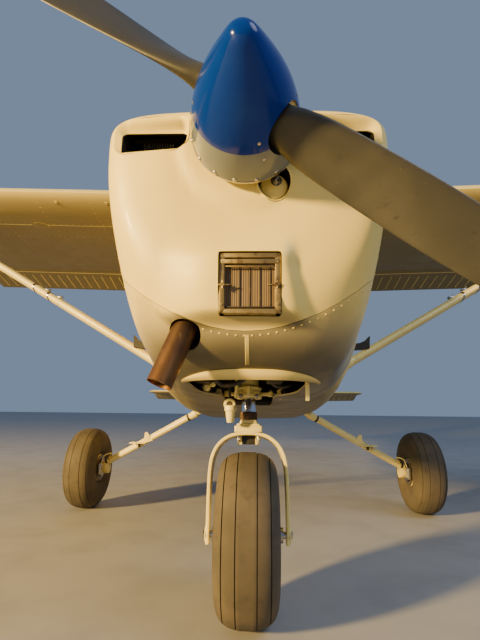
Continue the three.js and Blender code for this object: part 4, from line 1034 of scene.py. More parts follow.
def add_filter_paper():
    """Fine upright pleats behind five thin bars."""
    x, half, z0, z1, face = FILTER.values()
    first, last = x - half + 15, x + half - 15
    pleats = []
    for i in range(PLEATS + 1):
        pleats.append((first + (last - first) * i / PLEATS, face + 4 + (1.2 if i % 2 else 0)))
    outline = [*pleats, (last, face + 26), (first, face + 26)]
    paper = Shape().skin([[place(u, y, v) for u, y in outline] for v in (z0 + 8, z1 - 12)])
    lean(paper.piece("filter_paper", "filter_paper", "airframe"))
    bars = Shape()
    for i in range(5):
        u = first + 12 + i * (last - first - 24) / 4
        bars.block(place(u - 1.7, face + 2, z0 + 12), place(u + 1.7, face + 9, z1 - 36), 0.7)
    bars.block(place(first - 2, face - 2, z0 + 17), place(last + 2, face + 4, z0 + 20), 0.8)
    lean(bars.piece("filter_bars", "engine_iron", "airframe"))


def add_starter():
    """The starter's nose with a bolt and leads in their round hole, and the hole's raised edge."""
    centre = place(STARTER["x"], -806, STARTER["z"])
    cover = [(0, 0), (33, 0), (37, 3), (39, 9), (39, 110), (0, 110)]
    nose = Shape().turned(cover, centre - Z_AXIS * 0.010, Y_AXIS, 40)
    nose.piece("starter_cover", "cream_paint", "airframe", "starter_nose")
    spot = centre + X_AXIS * 0.006 + Z_AXIS * 0.006
    plug = [(0, -12), (9, -12), (11, -9), (11, -2), (15, -2), (15, 2), (0, 2)]
    boss = Shape().turned(plug, spot, Y_AXIS, 28)
    boss.bolt(spot - Y_AXIS * 0.012, -Y_AXIS, 5.5, 5)
    boss.piece("starter_bolt", "steel", "airframe")
    lead = ((60, -772, 1385), (84, -790, 1376), (112, -784, 1368), (124, -760, 1340))
    clutter = Shape().tube(route(lead), 4, 10)
    clutter.bolt(place(70, -792, 1371), -Y_AXIS, 6, 7)
    clutter.block(place(52, -780, 1290), place(130, -730, 1300), 3)
    clutter.piece("starter_leads", "black_rubber_and_shade", "airframe")
    lip_ring = []
    for u, v in starter_outline():
        hit = on_skin(COWL_TREE, place(u, -1000, v), Y_AXIS)
        lip_ring.append(hit[0] if hit else place(u, -800, v))
    lip = Shape().tube([*lip_ring, lip_ring[0], lip_ring[1]], 2.2, 8)
    lip.piece("starter_hole_edge", "cream_paint", "airframe")


def add_exhaust():
    """The stack from the cylinders down through the cowling, its end cut square."""
    start, end, radius = EXHAUST.values()
    along = (end - start).normalized()
    length = (end - start).length / MM
    bore = radius - 2
    wall = [(bore, 0), (radius, 0), (radius, length - 3), (radius + 0.8, length), (bore, length)]
    pipe = Shape().turned(wall, start, along, 64, closed=True)
    knee = curve_through([place(-200, -540, 1200), place(-200, -545, 1150), place(-178, -600, 1095),
                          start - along * 0.012, start + along * 0.03], 6)
    pipe.tube(knee, radius - 1, 32)
    clamp = [(radius, 0), (radius + 4, 0), (radius + 4, 16), (radius, 16)]
    pipe.turned(clamp, start + along * 0.01, along, 40, closed=True)
    pipe.piece("exhaust_pipe", "heated_steel", "airframe", "exhaust_stack")


add_filter_frame()
add_filter_clips()
add_filter_paper()
add_starter()
add_exhaust()


# Nose gear

LEG_RAKE = math.radians(6)
NOSE_AXLE = (-209, 284)
FORK_HALF = [
    # across, along the leg from the axle
    (143, -30), (143.5, 60), (142.5, 150), (140, 215), (133, 262),
    (118, 298), (95, 324), (66, 341), (34, 348.5),
]
# The strap's half depth at its foot, what it gains up to its shoulders, and what it gains to the rear
FORK_DEPTH = {"foot": 26, "gain": 20, "tail": 42}
CROWN_TIERS = (
    # bottom and top along the leg, half width at each, half depth
    (356, 378, 52, 52, 40),
    (378, 386, 50, 37, 38),
    (386, 402, 35, 29, 32),
)
COLLAR_AT = 500  # along the leg
LINK_ROOTS = ((366, 52), (500, 76))  # along the leg, and back from it
LINK_KNEE = (430, 134)


def leg_point(across, along, back=0):
    """A point by the raked nose leg: along it from the axle, and back from its line."""
    y, z = NOSE_AXLE
    sin, cos = math.sin(LEG_RAKE), math.cos(LEG_RAKE)
    return place(across, y + along * sin + back * cos, z + along * cos - back * sin)


LEG_UP = (leg_point(0, 1) - leg_point(0, 0)).normalized()
LEG_BACK = (leg_point(0, 0, 1) - leg_point(0, 0)).normalized()


def add_fork():
    """One bent strap over the tyre, deeper at its shoulders, with a boss at each foot."""
    half = [leg_point(x, along) for x, along in FORK_HALF]
    other = [leg_point(-x, along) for x, along in reversed(FORK_HALF)]
    path = curve_through([*half, leg_point(0, 350), *other], 7)
    fork = Shape()
    rings = []
    for before, here, after in zip([path[0], *path], path, [*path[1:], path[-1]]):
        outward = (after - before).normalized().cross(LEG_BACK)
        along = (here - leg_point(0, 0)).dot(LEG_UP) / MM
        depth = FORK_DEPTH["foot"] + FORK_DEPTH["gain"] * smoothstep(along, 40, 300)
        tail = depth + FORK_DEPTH["tail"] * smoothstep(along, 150, 320)
        outline = rounded(rectangle(-6.2, 6.2, -depth, tail), 3.2, 3)
        rings.append([here + outward * u * MM + LEG_BACK * v * MM for u, v in outline])
    fork.skin(rings)
    for side, _ in SIDES:
        fork.turned(stud(28, 3, 22, 5), leg_point(side * 149, 0), X_AXIS * side, 32)
    fork.piece("nose_fork_strap", "gear_paint", "nose_fork", "nose_fork")


def add_fork_crown():
    """The block that grips the piston over the strap, and a black pad under it."""
    crown = Shape()
    for low, high, width, top_width, depth in CROWN_TIERS:
        sections = [(low, width, depth), (high - 2, top_width + 1, depth), (high, top_width - 2, depth - 3)]
        crown.skin([[leg_point(u, along, v) for u, v in rounded(rectangle(-w, w, -d, d), 7, 4)]
                    for along, w, d in sections])
    crown.bar(leg_point(-40, 341), leg_point(40, 341), 60, 9, LEG_BACK, 2)
    crown.piece("fork_crown", "gear_paint", "nose_fork")
    pad = Shape().bar(leg_point(-26, 331), leg_point(26, 331), 40, 11, LEG_BACK, 3)
    pad.piece("fork_pad", "black_rubber_and_shade", "nose_fork")


def add_fork_bolts():
    """Four bolts through the crown and strap, and the axle with its nuts and spacers."""
    bolts = Shape()
    for side, _ in SIDES:
        out = X_AXIS * side
        for back in (-24, 24):
            low = leg_point(side * 38, 330, back)
            bolts.bolt(leg_point(side * 38, 378, back), LEG_UP, 8, 7)
            bolts.turned([(0, 0), (9, 0), (9, 3), (0, 3)], leg_point(side * 38, 339, back), -LEG_UP, 20)
            bolts.bolt(leg_point(side * 38, 336, back), -LEG_UP, 7, 9)
            bolts.turned([(3.6, 0), (3.6, 18), (2.6, 20), (0, 20)], low, -LEG_UP, 16)
        bolts.turned(stud(15, 5, 13, 7), leg_point(side * 153, 0), out, 6)
        bolts.turned([(0, 0), (26, 0), (26, 15), (0, 15)], leg_point(side * 126, 0), -out, 40)
    bolts.tube([leg_point(-156, 0), leg_point(156, 0)], 12, 28)
    bolts.piece("nose_axle_and_bolts", "steel", "nose_fork", "nose_axle")


def add_piston():
    """The bright piston and a rusty ring under it."""
    piston = Shape().turned([(0, 0), (27, 0), (27, 300), (0, 300)], leg_point(0, 400), LEG_UP, 48)
    piston.piece("piston_tube", "chrome", "nose_fork", "nose_piston")
    profile = [(0, 0), (31, 0), (33, 4), (33, 24), (31.5, 30), (27, 31), (0, 31)]
    ring = Shape().turned(profile, leg_point(0, 401), LEG_UP, 48)
    ring.piece("piston_ring", "rusty_steel", "nose_fork")


def add_steering_collar():
    """The collar round the piston, its two arms and their bolts."""
    at = COLLAR_AT
    hood = [(37, 0), (49, 0), (51, 3), (51, 14), (47, 17), (47, 31), (51, 34), (51, 40), (46, 44), (37, 44)]
    collar = Shape().turned(hood, leg_point(0, at - 16), LEG_UP, 64, closed=True)
    for side, _ in SIDES:
        lug = [leg_point(side * 30, at + up, -44) for up in (-20, 6)]
        collar.bar(leg_point(side * 42, at, -6), leg_point(side * 88, at, -10), 16, 13, LEG_UP, 3)
        collar.turned(stud(11, 17, 9, 19), leg_point(side * 86, at - 9, -10), LEG_UP, 24)
        collar.bar(*lug, 17, 10, LEG_BACK, 3)
    collar.bar(leg_point(-7, at + 6, -54), leg_point(7, at + 6, -54), 11, 40, LEG_UP, 2)
    collar.piece("steering_collar", "gear_paint", "nose_fork")
    bolts = Shape()
    for side, _ in SIDES:
        bolts.bolt(leg_point(side * 86, at + 10, -10), LEG_UP, 6.5, 6)
        bolts.bolt(leg_point(side * 30, at - 12, -50), -LEG_BACK, 6, 6)
        bolts.tube([leg_point(side * 88, at, -10), leg_point(side * 122, at - 2, -18)], 4, 12)
    bolts.piece("steering_bolts", "steel", "nose_fork")


def add_barrel():
    """The fixed barrel with a band round it, held by four arms to the firewall."""
    wall = [(28, 0), (38, 0), (38, 294), (28, 294)]
    barrel = Shape().turned(wall, leg_point(0, 532), LEG_UP, 48, closed=True)
    band = [(28, 0), (42, 0), (44, 3), (44, 12), (42, 15), (28, 15)]
    barrel.turned(band, leg_point(0, 580), LEG_UP, 48, closed=True)
    for along in (600, 780):
        for side, _ in SIDES:
            barrel.bar(leg_point(side * 30, along, 20), leg_point(side * 55, along, 185), 18, 26, LEG_UP, 3)
    barrel.piece("leg_barrel", "gear_paint", "airframe", "nose_strut_barrel")


def add_steering_rods():
    """The rods that come through the firewall, the damper, their end fittings, and the firewall's seal."""
    rods = Shape()
    for side, _ in SIDES:
        rod = ((134, -200, 792), (98, -60, 828), (84, -3, 846))
        rods.tube([place(side * x, y, z) for x, y, z in rod], 6, 12)
        rods.bolt(place(side * 131, -214, 792), -Y_AXIS, 8, 9)
    pipe = ((-69, -251, 748), (-69, -253, 815), (-72, -190, 868), (-76, -3, 880))
    rods.tube([place(*spot) for spot in pipe], 5, 12)
    rods.turned([(0, -6), (12, -6), (12, 6), (0, 6)], place(-69, -252, 742), Y_AXIS, 24)
    rods.piece("steering_rods", "engine_iron", "airframe")
    fittings = Shape()
    eye = [(12, 0), (20, 0), (22, 3), (22, 15), (20, 18), (12, 18)]
    fittings.turned(eye, place(-69, -260, 742), Y_AXIS, 36, closed=True)
    damper = [(0, 0), (19, 0), (22, 5), (22, 18), (18, 22), (16, 40), (13, 58), (11, 62), (0, 62)]
    fittings.turned(damper, place(-66, -250, 738), -Z_AXIS, 36)
    fittings.block(place(-156, -216, 766), place(-104, -176, 802), 9)
    fittings.block(place(-146, -222, 774), place(-128, -204, 796), 4)
    fittings.prism([(108, 796), (134, 806), (138, 792), (124, 762), (112, 764)], upright, (-214, -186))
    fittings.piece("steering_fittings", "gear_paint", "airframe")
    seal = Shape().block(place(-97, -10, 741), place(97, -5, 765), 2)
    seal.piece("firewall_seal", "black_rubber_and_shade", "airframe")


TYRE_SIDE = [
    # radius, across
    (80, -71.5), (99, -79), (140, -103), (190, -109), (240, -99), (270, -72), (284, -24),
]
TREAD_FROM = 240  # the radius where the tread begins
GROOVES = {"across": (-76.5, -33.5, 33.5, 76.5), "half": 1.8, "slope": 0.4, "depth": 5.0}


def tyre_profile():
    """The tyre's closed section, (radius, across), with its tread grooves."""
    outline = [Vector((across, radius, 0)) for radius, across in TYRE_SIDE]
    outline += [Vector((-across, radius, 0)) for radius, across in reversed(TYRE_SIDE)]
    curve = [(point.x, point.y) for point in curve_through(outline, 10)]
    crown = TYRE_SIDE[-1][0]
    xs, radii = zip(*[(x, min(r, crown)) for x, r in curve if r > TREAD_FROM])
    middles, half, slope, depth = GROOVES.values()
    steps = (-half, slope - half, half - slope, half)
    stations = {round(x, 2) for x in xs} | {round(middle + step, 2) for middle in middles for step in steps}
    tread = []
    for x in sorted(stations):
        radius = float(np.interp(x, xs, radii))
        inside = any(abs(x - middle) < half - slope / 2 for middle in middles)
        tread.append((radius - depth if inside else radius, x))
    walls = [(r, x) for x, r in curve if r <= TREAD_FROM]
    left = [(r, x) for r, x in walls if x < 0]
    right = [(r, x) for r, x in walls if x > 0]
    inner = [(86, 64), (120, 84), (120, -84), (86, -64)]
    return [*left, *tread, *right, *inner]


def add_tyre(name, centre, body, node):
    """One tyre with its tread, turned about its axle."""
    tyre = Shape().turned(tyre_profile(), centre, X_AXIS, 160, closed=True)
    tyre.piece(name, "tyre_rubber", body, node, angle=28)


def add_rim(name, centre, side, body):
    """The bolts and the hub cap on one side of a wheel."""
    out = X_AXIS * side
    face = centre + out * 0.052
    parts = Shape()
    for i in range(6):
        turn = 2 * math.pi * i / 6
        spot = face + (Y_AXIS * math.cos(turn) + Z_AXIS * math.sin(turn)) * 0.047
        parts.bolt(spot, out, 6, 6)
    cap = [(0, 0), (27, 0), (27, 10), (24, 15), (10, 17), (0, 17)]
    parts.turned(cap, face + out * 0.002, out, 40)
    parts.piece(name, "steel", body)


add_fork()
add_fork_crown()
add_fork_bolts()
add_piston()
add_steering_collar()
add_barrel()
add_steering_rods()
add_tyre("nose_tyre_tread", place(0, -209, 284), "nose_wheel", "nose_tyre")


# Seams, rivets and the outlet's lip on the cowling

def on_front(x, z):
    """A place on the cowling, seen from the front."""
    return on_skin(COWL_TREE, place(x, -1300, z), Y_AXIS)


def on_flank(side, y, z):
    """A place on the cowling, seen from one side."""
    return on_skin(COWL_TREE, place(side * 900, y, z), -X_AXIS * side)


def on_top(x, y):
    """A place on the cowling, seen from above."""
    return on_skin(COWL_TREE, place(x, y, 2000), -Z_AXIS)


def ribbon(shape, hits, width, height):
    """A low raised strip along (point, outward direction) places on a skin."""
    rings = []
    points = [point for point, _ in hits]
    for i, (point, out) in enumerate(hits):
        along = (points[min(i + 1, len(points) - 1)] - points[max(i - 1, 0)]).normalized()
        side = along.cross(out).normalized() * (width / 2) * MM
        lift = out * height * MM
        base = point - out * 0.0008
        rings.append([base - side, base - side * 0.7 + lift, base + side * 0.7 + lift, base + side])
    return shape.skin(rings)


def add_cowl_rivets():
    """Rivets along the bowl's lower edge, its back and the line where the covers part."""
    rivets = Shape()
    seam = [on_front(x, seam_level(x) - 11) for x in range(-312, 330, 22)]
    rivets.rivets([hit for hit in seam if hit and abs(hit[0].x / MM + 165) > 48], 3.4, 1.6)
    spots = []
    for side, _ in SIDES:
        for z in range(1000, 1540, 42):
            spots += [on_flank(side, y, z) for y in (BOWL_BACK - 13, BOWL_BACK + 13)]
        for y in range(-610, -10, 46):
            spots += [on_flank(side, y, z) for z in (COVER_SPLIT - 13, COVER_SPLIT + 13)]
    for x in range(-420, 421, 42):
        spots += [on_top(x, y) for y in (BOWL_BACK - 13, BOWL_BACK + 13, -14)]
    rivets.rivets([hit for hit in spots if hit], 3.0, 1.4)
    rivets.piece("cowl_rivets", "cream_paint", "airframe")


def add_cowl_strip():
    """The strip down the middle of the lower cowl."""
    centre = [on_front(4, z) for z in range(920, 846, -8)]
    trim = ribbon(Shape(), [hit for hit in centre if hit], 13, 1.6)
    trim.piece("lower_cowl_strip", "cream_paint", "airframe")


def add_cowl_lines():
    """The dark line in the bowl beside each inlet, and the oil door's edge."""
    split = Shape()
    for side, _ in SIDES:
        front = [on_front(side * x, 1506) for x in range(386, 412, 5)]
        flank = [on_flank(side, y, 1506) for y in range(-745, -640, 20)]
        ribbon(split, [hit for hit in front + flank if hit], 2.4, 0.7)
    split.piece("bowl_split_line", "black_rubber_and_shade", "airframe")
    door = [on_top(u, v) for u, v in rounded(rectangle(120, 250, -420, -300), 22, 4)]
    oil_door = ribbon(Shape(), [*door, door[0]], 5, 1.4)
    oil_door.piece("oil_door_edge", "cream_paint", "airframe")


def add_cowl_fasteners():
    """Three slotted screws on each side, over the line where the covers part."""
    screws = Shape()
    for side, _ in SIDES:
        for y in (-560, -330, -90):
            point, out = on_flank(side, y, COVER_SPLIT + 30)
            screws.turned([(13, -0.5), (13, 1.6), (11.5, 2.4), (0, 2.4)], point, out, 24)
            slot = point + out * 0.0022
            screws.bar(slot - Y_AXIS * 0.009, slot + Y_AXIS * 0.009, 3, 1.4)
    screws.piece("cowl_fasteners", "steel", "airframe")


LINER_FLOOR = [
    # across, station
    (-96, -590), (96, -590), (190, -500), (235, -250), (290, -10),
    (-290, -10), (-235, -250), (-190, -500),
]
LINER_WALL = [
    # across, height
    (-150, 756), (150, 756), (228, 780), (290, 842), (290, 862),
    (-290, 862), (-290, 842), (-228, 780),
]
OUTLET_CLUTTER = (
    # radius, (x, station, z) places that the hose runs through
    (8, ((-120, -470, 856), (-90, -440, 806), (-30, -430, 812), (20, -420, 856))),
    (7, ((60, -380, 856), (96, -360, 806), (150, -330, 812), (176, -240, 856))),
)


def add_outlet_lip():
    """The flared lip over the outlet, arched up in its middle, and its rolled edge."""
    rings = []
    for i in range(33):
        share = -1 + i / 16
        arch = 1 - abs(share) ** 2.6
        start, _ = on_front(14 + 222 * share, 813 + 26 * arch)
        drop = 24 * arch + 4
        ring = []
        for t in (0, 0.35, 0.7, 1):
            bow = math.sin(t * math.pi) * 3
            ring.append(start + Y_AXIS * (2 + 20 * t - bow) * MM - Z_AXIS * drop * t * MM)
        rings.append(ring)
    lip = Shape().skin(rings, wrap=False, caps=False)
    thicken(lip.piece("outlet_lip", "cream_paint", "airframe"), -3)
    edge = Shape().tube([ring[-1] for ring in rings], 2.6, 8)
    edge.piece("outlet_lip_edge", "cream_paint", "airframe")


def add_outlet_inside():
    """A black liner behind the outlet as painted shade for its dark inside, with hoses, brackets, tabs and
    small fittings.
    """
    liner = Shape().prism(LINER_FLOOR, place, (858, 862))
    liner.prism(LINER_WALL, upright, (-14, -10))
    liner.piece("outlet_shade_liner", "shade_black", "airframe")
    clutter = Shape()
    for radius, places in OUTLET_CLUTTER:
        clutter.tube(route(places), radius, 12)
    clutter.tube([place(-200, -380, 850), place(-196, -180, 822), place(-190, -20, 812)], 9, 12)
    clutter.block(place(64, -420, 812), place(120, -330, 858), 6)
    clutter.block(place(-186, -400, 812), place(-130, -300, 858), 6)
    clutter.piece("outlet_clutter", "engine_iron", "airframe")
    drain = Shape().block(place(184, -500, 752), place(197, -488, 812), 3)
    drain.tube([place(-40, -300, 840), place(-44, -310, 764)], 6, 16)
    drain.piece("drain_tabs", "gear_paint", "airframe")
    heaps = Shape()
    for x, z, reach in ((-150, 800, 15), (-128, 812, 11), (118, 806, 9), (96, 812, 8)):
        knob = [(reach * 0.4, 0), (reach, 4), (reach, 14), (reach * 0.6, 20), (0, 20)]
        heaps.turned(knob, place(x, -300, z), -Y_AXIS, 8)
    heaps.piece("outlet_fittings", "gear_paint", "airframe")


add_cowl_strip()
add_cowl_rivets()
add_cowl_lines()
add_cowl_fasteners()
add_outlet_lip()
add_outlet_inside()


# Main gear

LEG_ROUTE = [
    # across, station, height
    (300, 1366, 752), (640, 1440, 566), (1040, 1528, 352), (1112, 1540, 316),
]
MAIN_AXLE = (1232, 1542, 284)
STEP_X = 840


def wheel_point(side, x, back=0, up=0):
    """A point by a main wheel: across, and behind and above its axle."""
    return place(side * x, MAIN_AXLE[1] + back, MAIN_AXLE[2] + up)


def add_leg(side, hand):
    """A sprung steel tube with its socket, brake line, rubber clamps and a small step."""
    out = X_AXIS * side
    path = curve_through([place(side * x, y, z) for x, y, z in LEG_ROUTE], 10)
    leg = Shape().tube(path, 21, 32)
    leg.turned([(0, 0), (40, 0), (41, 3), (41, 44), (38, 48), (0, 48)], wheel_point(side, 1078), out, 40)
    collar = [(21, -30), (28, -30), (29, -26), (24, 26), (21, 30)]
    leg.turned(collar, path[4], (path[5] - path[3]).normalized(), 32)
    bracket = [(side * x, z) for x, z in ((735, 492), (806, 468), (794, 548), (780, 552))]
    leg.prism(bracket, upright, (1442, 1452))
    leg.piece(f"leg_tube_{hand}", "gear_paint", "airframe", f"gear_leg_{hand}")
    line = [point - Y_AXIS * 0.008 + Z_AXIS * 0.024 for point in path[2:-7]]
    loop = [wheel_point(side, *spot) for spot in ((1046, -70, 108), (1088, -92, 96), (1112, -84, 44))]
    pipe = Shape().tube([*line, *curve_through([line[-1], *loop])[1:]], 3.4, 10)
    pipe.piece(f"brake_line_{hand}", "gear_paint", "airframe")
    rubber = Shape()
    for number in (5, 24):
        along = (path[number + 1] - path[number - 1]).normalized()
        rubber.turned([(20, -7), (24, -7), (25, -5), (25, 5), (24, 7), (20, 7)], path[number], along, 28)
    rubber.block(place(side * 836 - 5, 1432, 442), place(side * 836 + 5, 1478, 470), 2)
    rubber.piece(f"leg_clamps_{hand}", "black_rubber_and_shade", "airframe")
    middle = side * STEP_X
    step = Shape().block(place(middle - 60, 1405, 470), place(middle + 60, 1475, 476), 2)
    for i in range(5):
        step.block(place(middle - 54, 1411 + i * 13, 476), place(middle + 54, 1415 + i * 13, 477.5), 0.5)
    for dx in (-30, 30):
        step.bolt(place(middle + dx, 1440, 476), Z_AXIS, 5, 4)
    step.piece(f"leg_step_{hand}", "gear_paint", "airframe")


def add_axle(side, hand):
    """The axle's flange with its four bolts, and its nut."""
    out = X_AXIS * side
    flange = [(0, 0), (62, 0), (62, 6), (58, 8), (34, 8), (34, 20), (0, 20)]
    axle = Shape().turned(flange, wheel_point(side, 1126.4), out, 48)
    axle.tube([wheel_point(side, 1130), wheel_point(side, 1316)], 19, 28)
    axle.turned(stud(30, 12, 26, 15), wheel_point(side, 1299), out, 6)
    for i in range(4):
        turn = math.pi / 4 + math.pi / 2 * i
        axle.bolt(wheel_point(side, 1126, 50 * math.cos(turn), 50 * math.sin(turn)), -out, 6.5, 6)
    axle.piece(f"axle_set_{hand}", "steel", "airframe", f"axle_{hand}")


def add_brake(side, hand):
    """The caliper ahead of the axle, and the disc that turns with the wheel."""
    out = X_AXIS * side
    body = corners(wheel_point(side, 1110, -100, -40), wheel_point(side, 1134, -58, 40))
    caliper = Shape().block(*body, 6)
    for up in (-22, 22):
        caliper.turned(stud(15, 7, 13, 9), wheel_point(side, 1112, -80, up), -out, 28)
        caliper.bolt(wheel_point(side, 1103, -80, up), -out, 5, 5)
    caliper.block(*corners(wheel_point(side, 1128, -90, -34), wheel_point(side, 1134, 0, 34)), 2)
    caliper.bolt(wheel_point(side, 1112, -80, 44), Z_AXIS, 5, 9)
    caliper.piece(f"brake_caliper_{hand}", "aluminium", "airframe")
    middle = wheel_point(side, 1139)
    rim = [(66, 0), (91, 0), (92, 1), (92, 6), (91, 7), (66, 7)]
    disc = Shape().turned(rim, middle, out, 64, closed=True)
    disc.turned([(60, 7), (74, 7), (74, 24), (60, 24)], middle, out, 48, closed=True)
    disc.piece(f"brake_disc_{hand}", "worn_steel", f"main_wheel_{hand}")


for side, hand in SIDES:
    add_leg(side, hand)
    add_axle(side, hand)
    add_brake(side, hand)
    centre = place(side * MAIN_AXLE[0], *MAIN_AXLE[1:])
    add_tyre(f"main_{hand}_tread", centre, f"main_wheel_{hand}", f"main_{hand}_tyre")
    add_rim(f"main_{hand}_hub_bolts", centre, side, f"main_wheel_{hand}")
    add_rim(f"nose_hub_bolts_{hand}", place(0, *NOSE_AXLE), side, "nose_wheel")


# Wing struts

STRUT_FOOT = place(505, 704, 957)
STRUT_HEAD = place(2400, 1105, 2062)
STRUT_SECTION = [
    # along the air's path, half thickness
    (-74, 0), (-71, 10), (-62, 18), (-46, 25), (-22, 29.5), (6, 29), (34, 22), (58, 11.5), (74, 1.5),
]


def mirrored(point, side):
    """A left-hand point, moved to a side."""
    return Vector((point.x * side, point.y, point.z))


def strut_ring(side, share, swell=0.0):
    """A section across the strut, swell millimetres proud of it."""
    middle = STRUT_FOOT.lerp(STRUT_HEAD, share)
    lower = [(u, -v) for u, v in reversed(STRUT_SECTION[1:])]
    ring = []
    for u, v in [*STRUT_SECTION, *lower]:
        back = (u + math.copysign(swell, u)) * MM
        up = (v + math.copysign(swell, v)) * MM
        ring.append(mirrored(middle + Y_AXIS * back + Z_AXIS * up, side))
    return ring


def add_struts():
    """Streamlined tubes with cuffs at both ends and the clamped bands of a step."""
    for side, hand in SIDES:
        strut = Shape().skin([strut_ring(side, i / 24) for i in range(25)])
        for low, high in ((0.0, 0.045), (0.95, 0.985)):
            cuff = ((low, 4), (high - 0.006, 4), (high, 0.4))
            strut.skin([strut_ring(side, share, swell) for share, swell in cuff])
        strut.piece(f"strut_{hand}", "gear_paint", "airframe", f"wing_strut_{hand}", angle=50)
        bands = Shape()
        for low in (0.425, 0.483):
            bands.skin([strut_ring(side, low, 1.6), strut_ring(side, low + 0.007, 1.6)])
        for share in (0.395, 0.445):
            top = mirrored(STRUT_FOOT.lerp(STRUT_HEAD, share), side) + Z_AXIS * 0.030 - Y_AXIS * 0.01
            bands.block(top - Vector((0.016, 0.012, 0.004)), top + Vector((0.016, 0.012, 0.012)), 2)
            bands.tube([top + Z_AXIS * 0.008, top + Z_AXIS * 0.03 + X_AXIS * side * 0.02], 3, 8)
        bands.piece(f"strut_bands_{hand}", "steel", "airframe")


add_struts()


# Wings and tail: modifiers on the frame's own solids, then their seams, rivets, ribs and lamps

def smooth_group():
    """A geometry node group that welds the solid's facets and shades them smoothly between its edges."""
    group = bpy.data.node_groups.new("smooth solids", "GeometryNodeTree")
    group.interface.new_socket(name="Geometry", in_out="INPUT", socket_type="NodeSocketGeometry")
    group.interface.new_socket(name="Geometry", in_out="OUTPUT", socket_type="NodeSocketGeometry")
    start = group.nodes.new("NodeGroupInput")
    end = group.nodes.new("NodeGroupOutput")
    weld = group.nodes.new("GeometryNodeMergeByDistance")
    weld.inputs["Distance"].default_value = 0.00002
    angle = group.nodes.new("GeometryNodeInputMeshEdgeAngle")
    compare = group.nodes.new("FunctionNodeCompare")
    compare.data_type = "FLOAT"
    compare.operation = "LESS_THAN"
    compare.inputs["B"].default_value = math.radians(34)
    edges = group.nodes.new("GeometryNodeSetShadeSmooth")
    edges.domain = "EDGE"
    faces = group.nodes.new("GeometryNodeSetShadeSmooth")
    group.links.new(start.outputs["Geometry"], weld.inputs["Geometry"])
    group.links.new(angle.outputs["Unsigned Angle"], compare.inputs["A"])
    group.links.new(weld.outputs["Geometry"], faces.inputs["Geometry"])
    group.links.new(faces.outputs["Geometry"], edges.inputs["Geometry"])
    group.links.new(compare.outputs["Result"], edges.inputs["Shade Smooth"])
    group.links.new(edges.outputs["Geometry"], end.inputs["Geometry"])
    return group


NODE_LOOKS = {
    "cabin_paint": ("cabin_shell", "door_left", "door_right", "tail_cone"),
    "cream_paint": (
        "wing_left", "wing_right", "fin", "aileron_left",
        "aileron_right", "flap_left", "flap_right", "stabilizer", "elevator", "rudder",
    ),
    "gear_paint": ("nose_rim", "main_left_rim", "main_right_rim"),
    "engine_iron": ("engine_block",),
    "steel": ("firewall",),
    "aluminium": ("spinner_backplate",),
    "window": (
        "side_glass_left", "side_glass_right", "windshield", "rear_window",
        "door_glass_left", "door_glass_right",
    ),
    "cabin_trim": ("cabin_floor", "instrument_panel"),
    "beacon_glass": ("beacon",),
}


def dress_solids():
    """Gives the frame's own solids their looks and smooth shading."""
    group = smooth_group()
    for look, nodes in NODE_LOOKS.items():
        for node in nodes:
            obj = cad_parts[node]
            obj.modifiers.new("smooth", "NODES").node_group = group
            obj.data.materials.clear()
            obj.data.materials.append(LOOKS[look])


dress_solids()


def node_tree(*nodes):
    """One tree over several of the frame's solids."""
    bm = bmesh.new()
    for node in nodes:
        bm.from_mesh(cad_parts[node].data)
    tree = BVHTree.FromBMesh(bm)
    bm.free()
    return tree


def cast_line(tree, start, end, direction, pitch):
    """Places on a skin along a line from start to end, looked at along direction."""
    count = max(2, round((end - start).length / (pitch * MM)))
    hits = []
    for i in range(count + 1):
        hit = on_skin(tree, start.lerp(end, i / count) - direction * 1.5, direction)
        if hit and hit[1].dot(direction) < -0.25:
            hits.append(hit)
    return hits


def above_and_below(start, end):
    """One line looked at from above, and again from below."""
    return [(start, end, direction) for direction in (Z_AXIS, -Z_AXIS)]


def add_ribs(name, body, tree, lines):
    """Pressed ridges along lines (start, end, direction)."""
    shape = Shape()
    for start, end, direction in lines:
        hits = cast_line(tree, start, end, direction, 45)
        if len(hits) > 2:
            ribbon(shape, hits, 6, 3.0)
    # The ridges take the pale gear paint without the painted shade of faces that look down, as a painted
    # highlight on their crests
    shape.piece(name, "gear_paint", body)


def rivet_rows(shape, tree, rows, direction, pitch, size=(2.6, 1.1)):
    """Rivets along rows (start, end), each a place in millimetres."""
    for start, end in rows:
        shape.rivets(cast_line(tree, place(*start), place(*end), direction, pitch), *size)


WING_LEAD_Y = 660
WING_CHORD = 1626
TIP_CHORD = 1120
TAPER_FROM = 2500
TIP_X = 5480
RIB_PLACES = [700, 1050, 1400, 1750, 2100, 2440, 2620, 2950, 3300, 3650, 4000, 4350, 4700, 5050]


def wing_edge(x, share):
    """The station of a share of the chord, over a reach along the wing."""
    narrow = max(0, (x - TAPER_FROM) / (TIP_X - TAPER_FROM))
    chord = WING_CHORD + (TIP_CHORD - WING_CHORD) * narrow
    return WING_LEAD_Y + 0.3 * (WING_CHORD - chord) + chord * share


def span_line(side, share, x0, x1):
    """A line along the wing at a share of its chord."""
    return place(side * x0, wing_edge(x0, share), 2000), place(side * x1, wing_edge(x1, share), 2000)


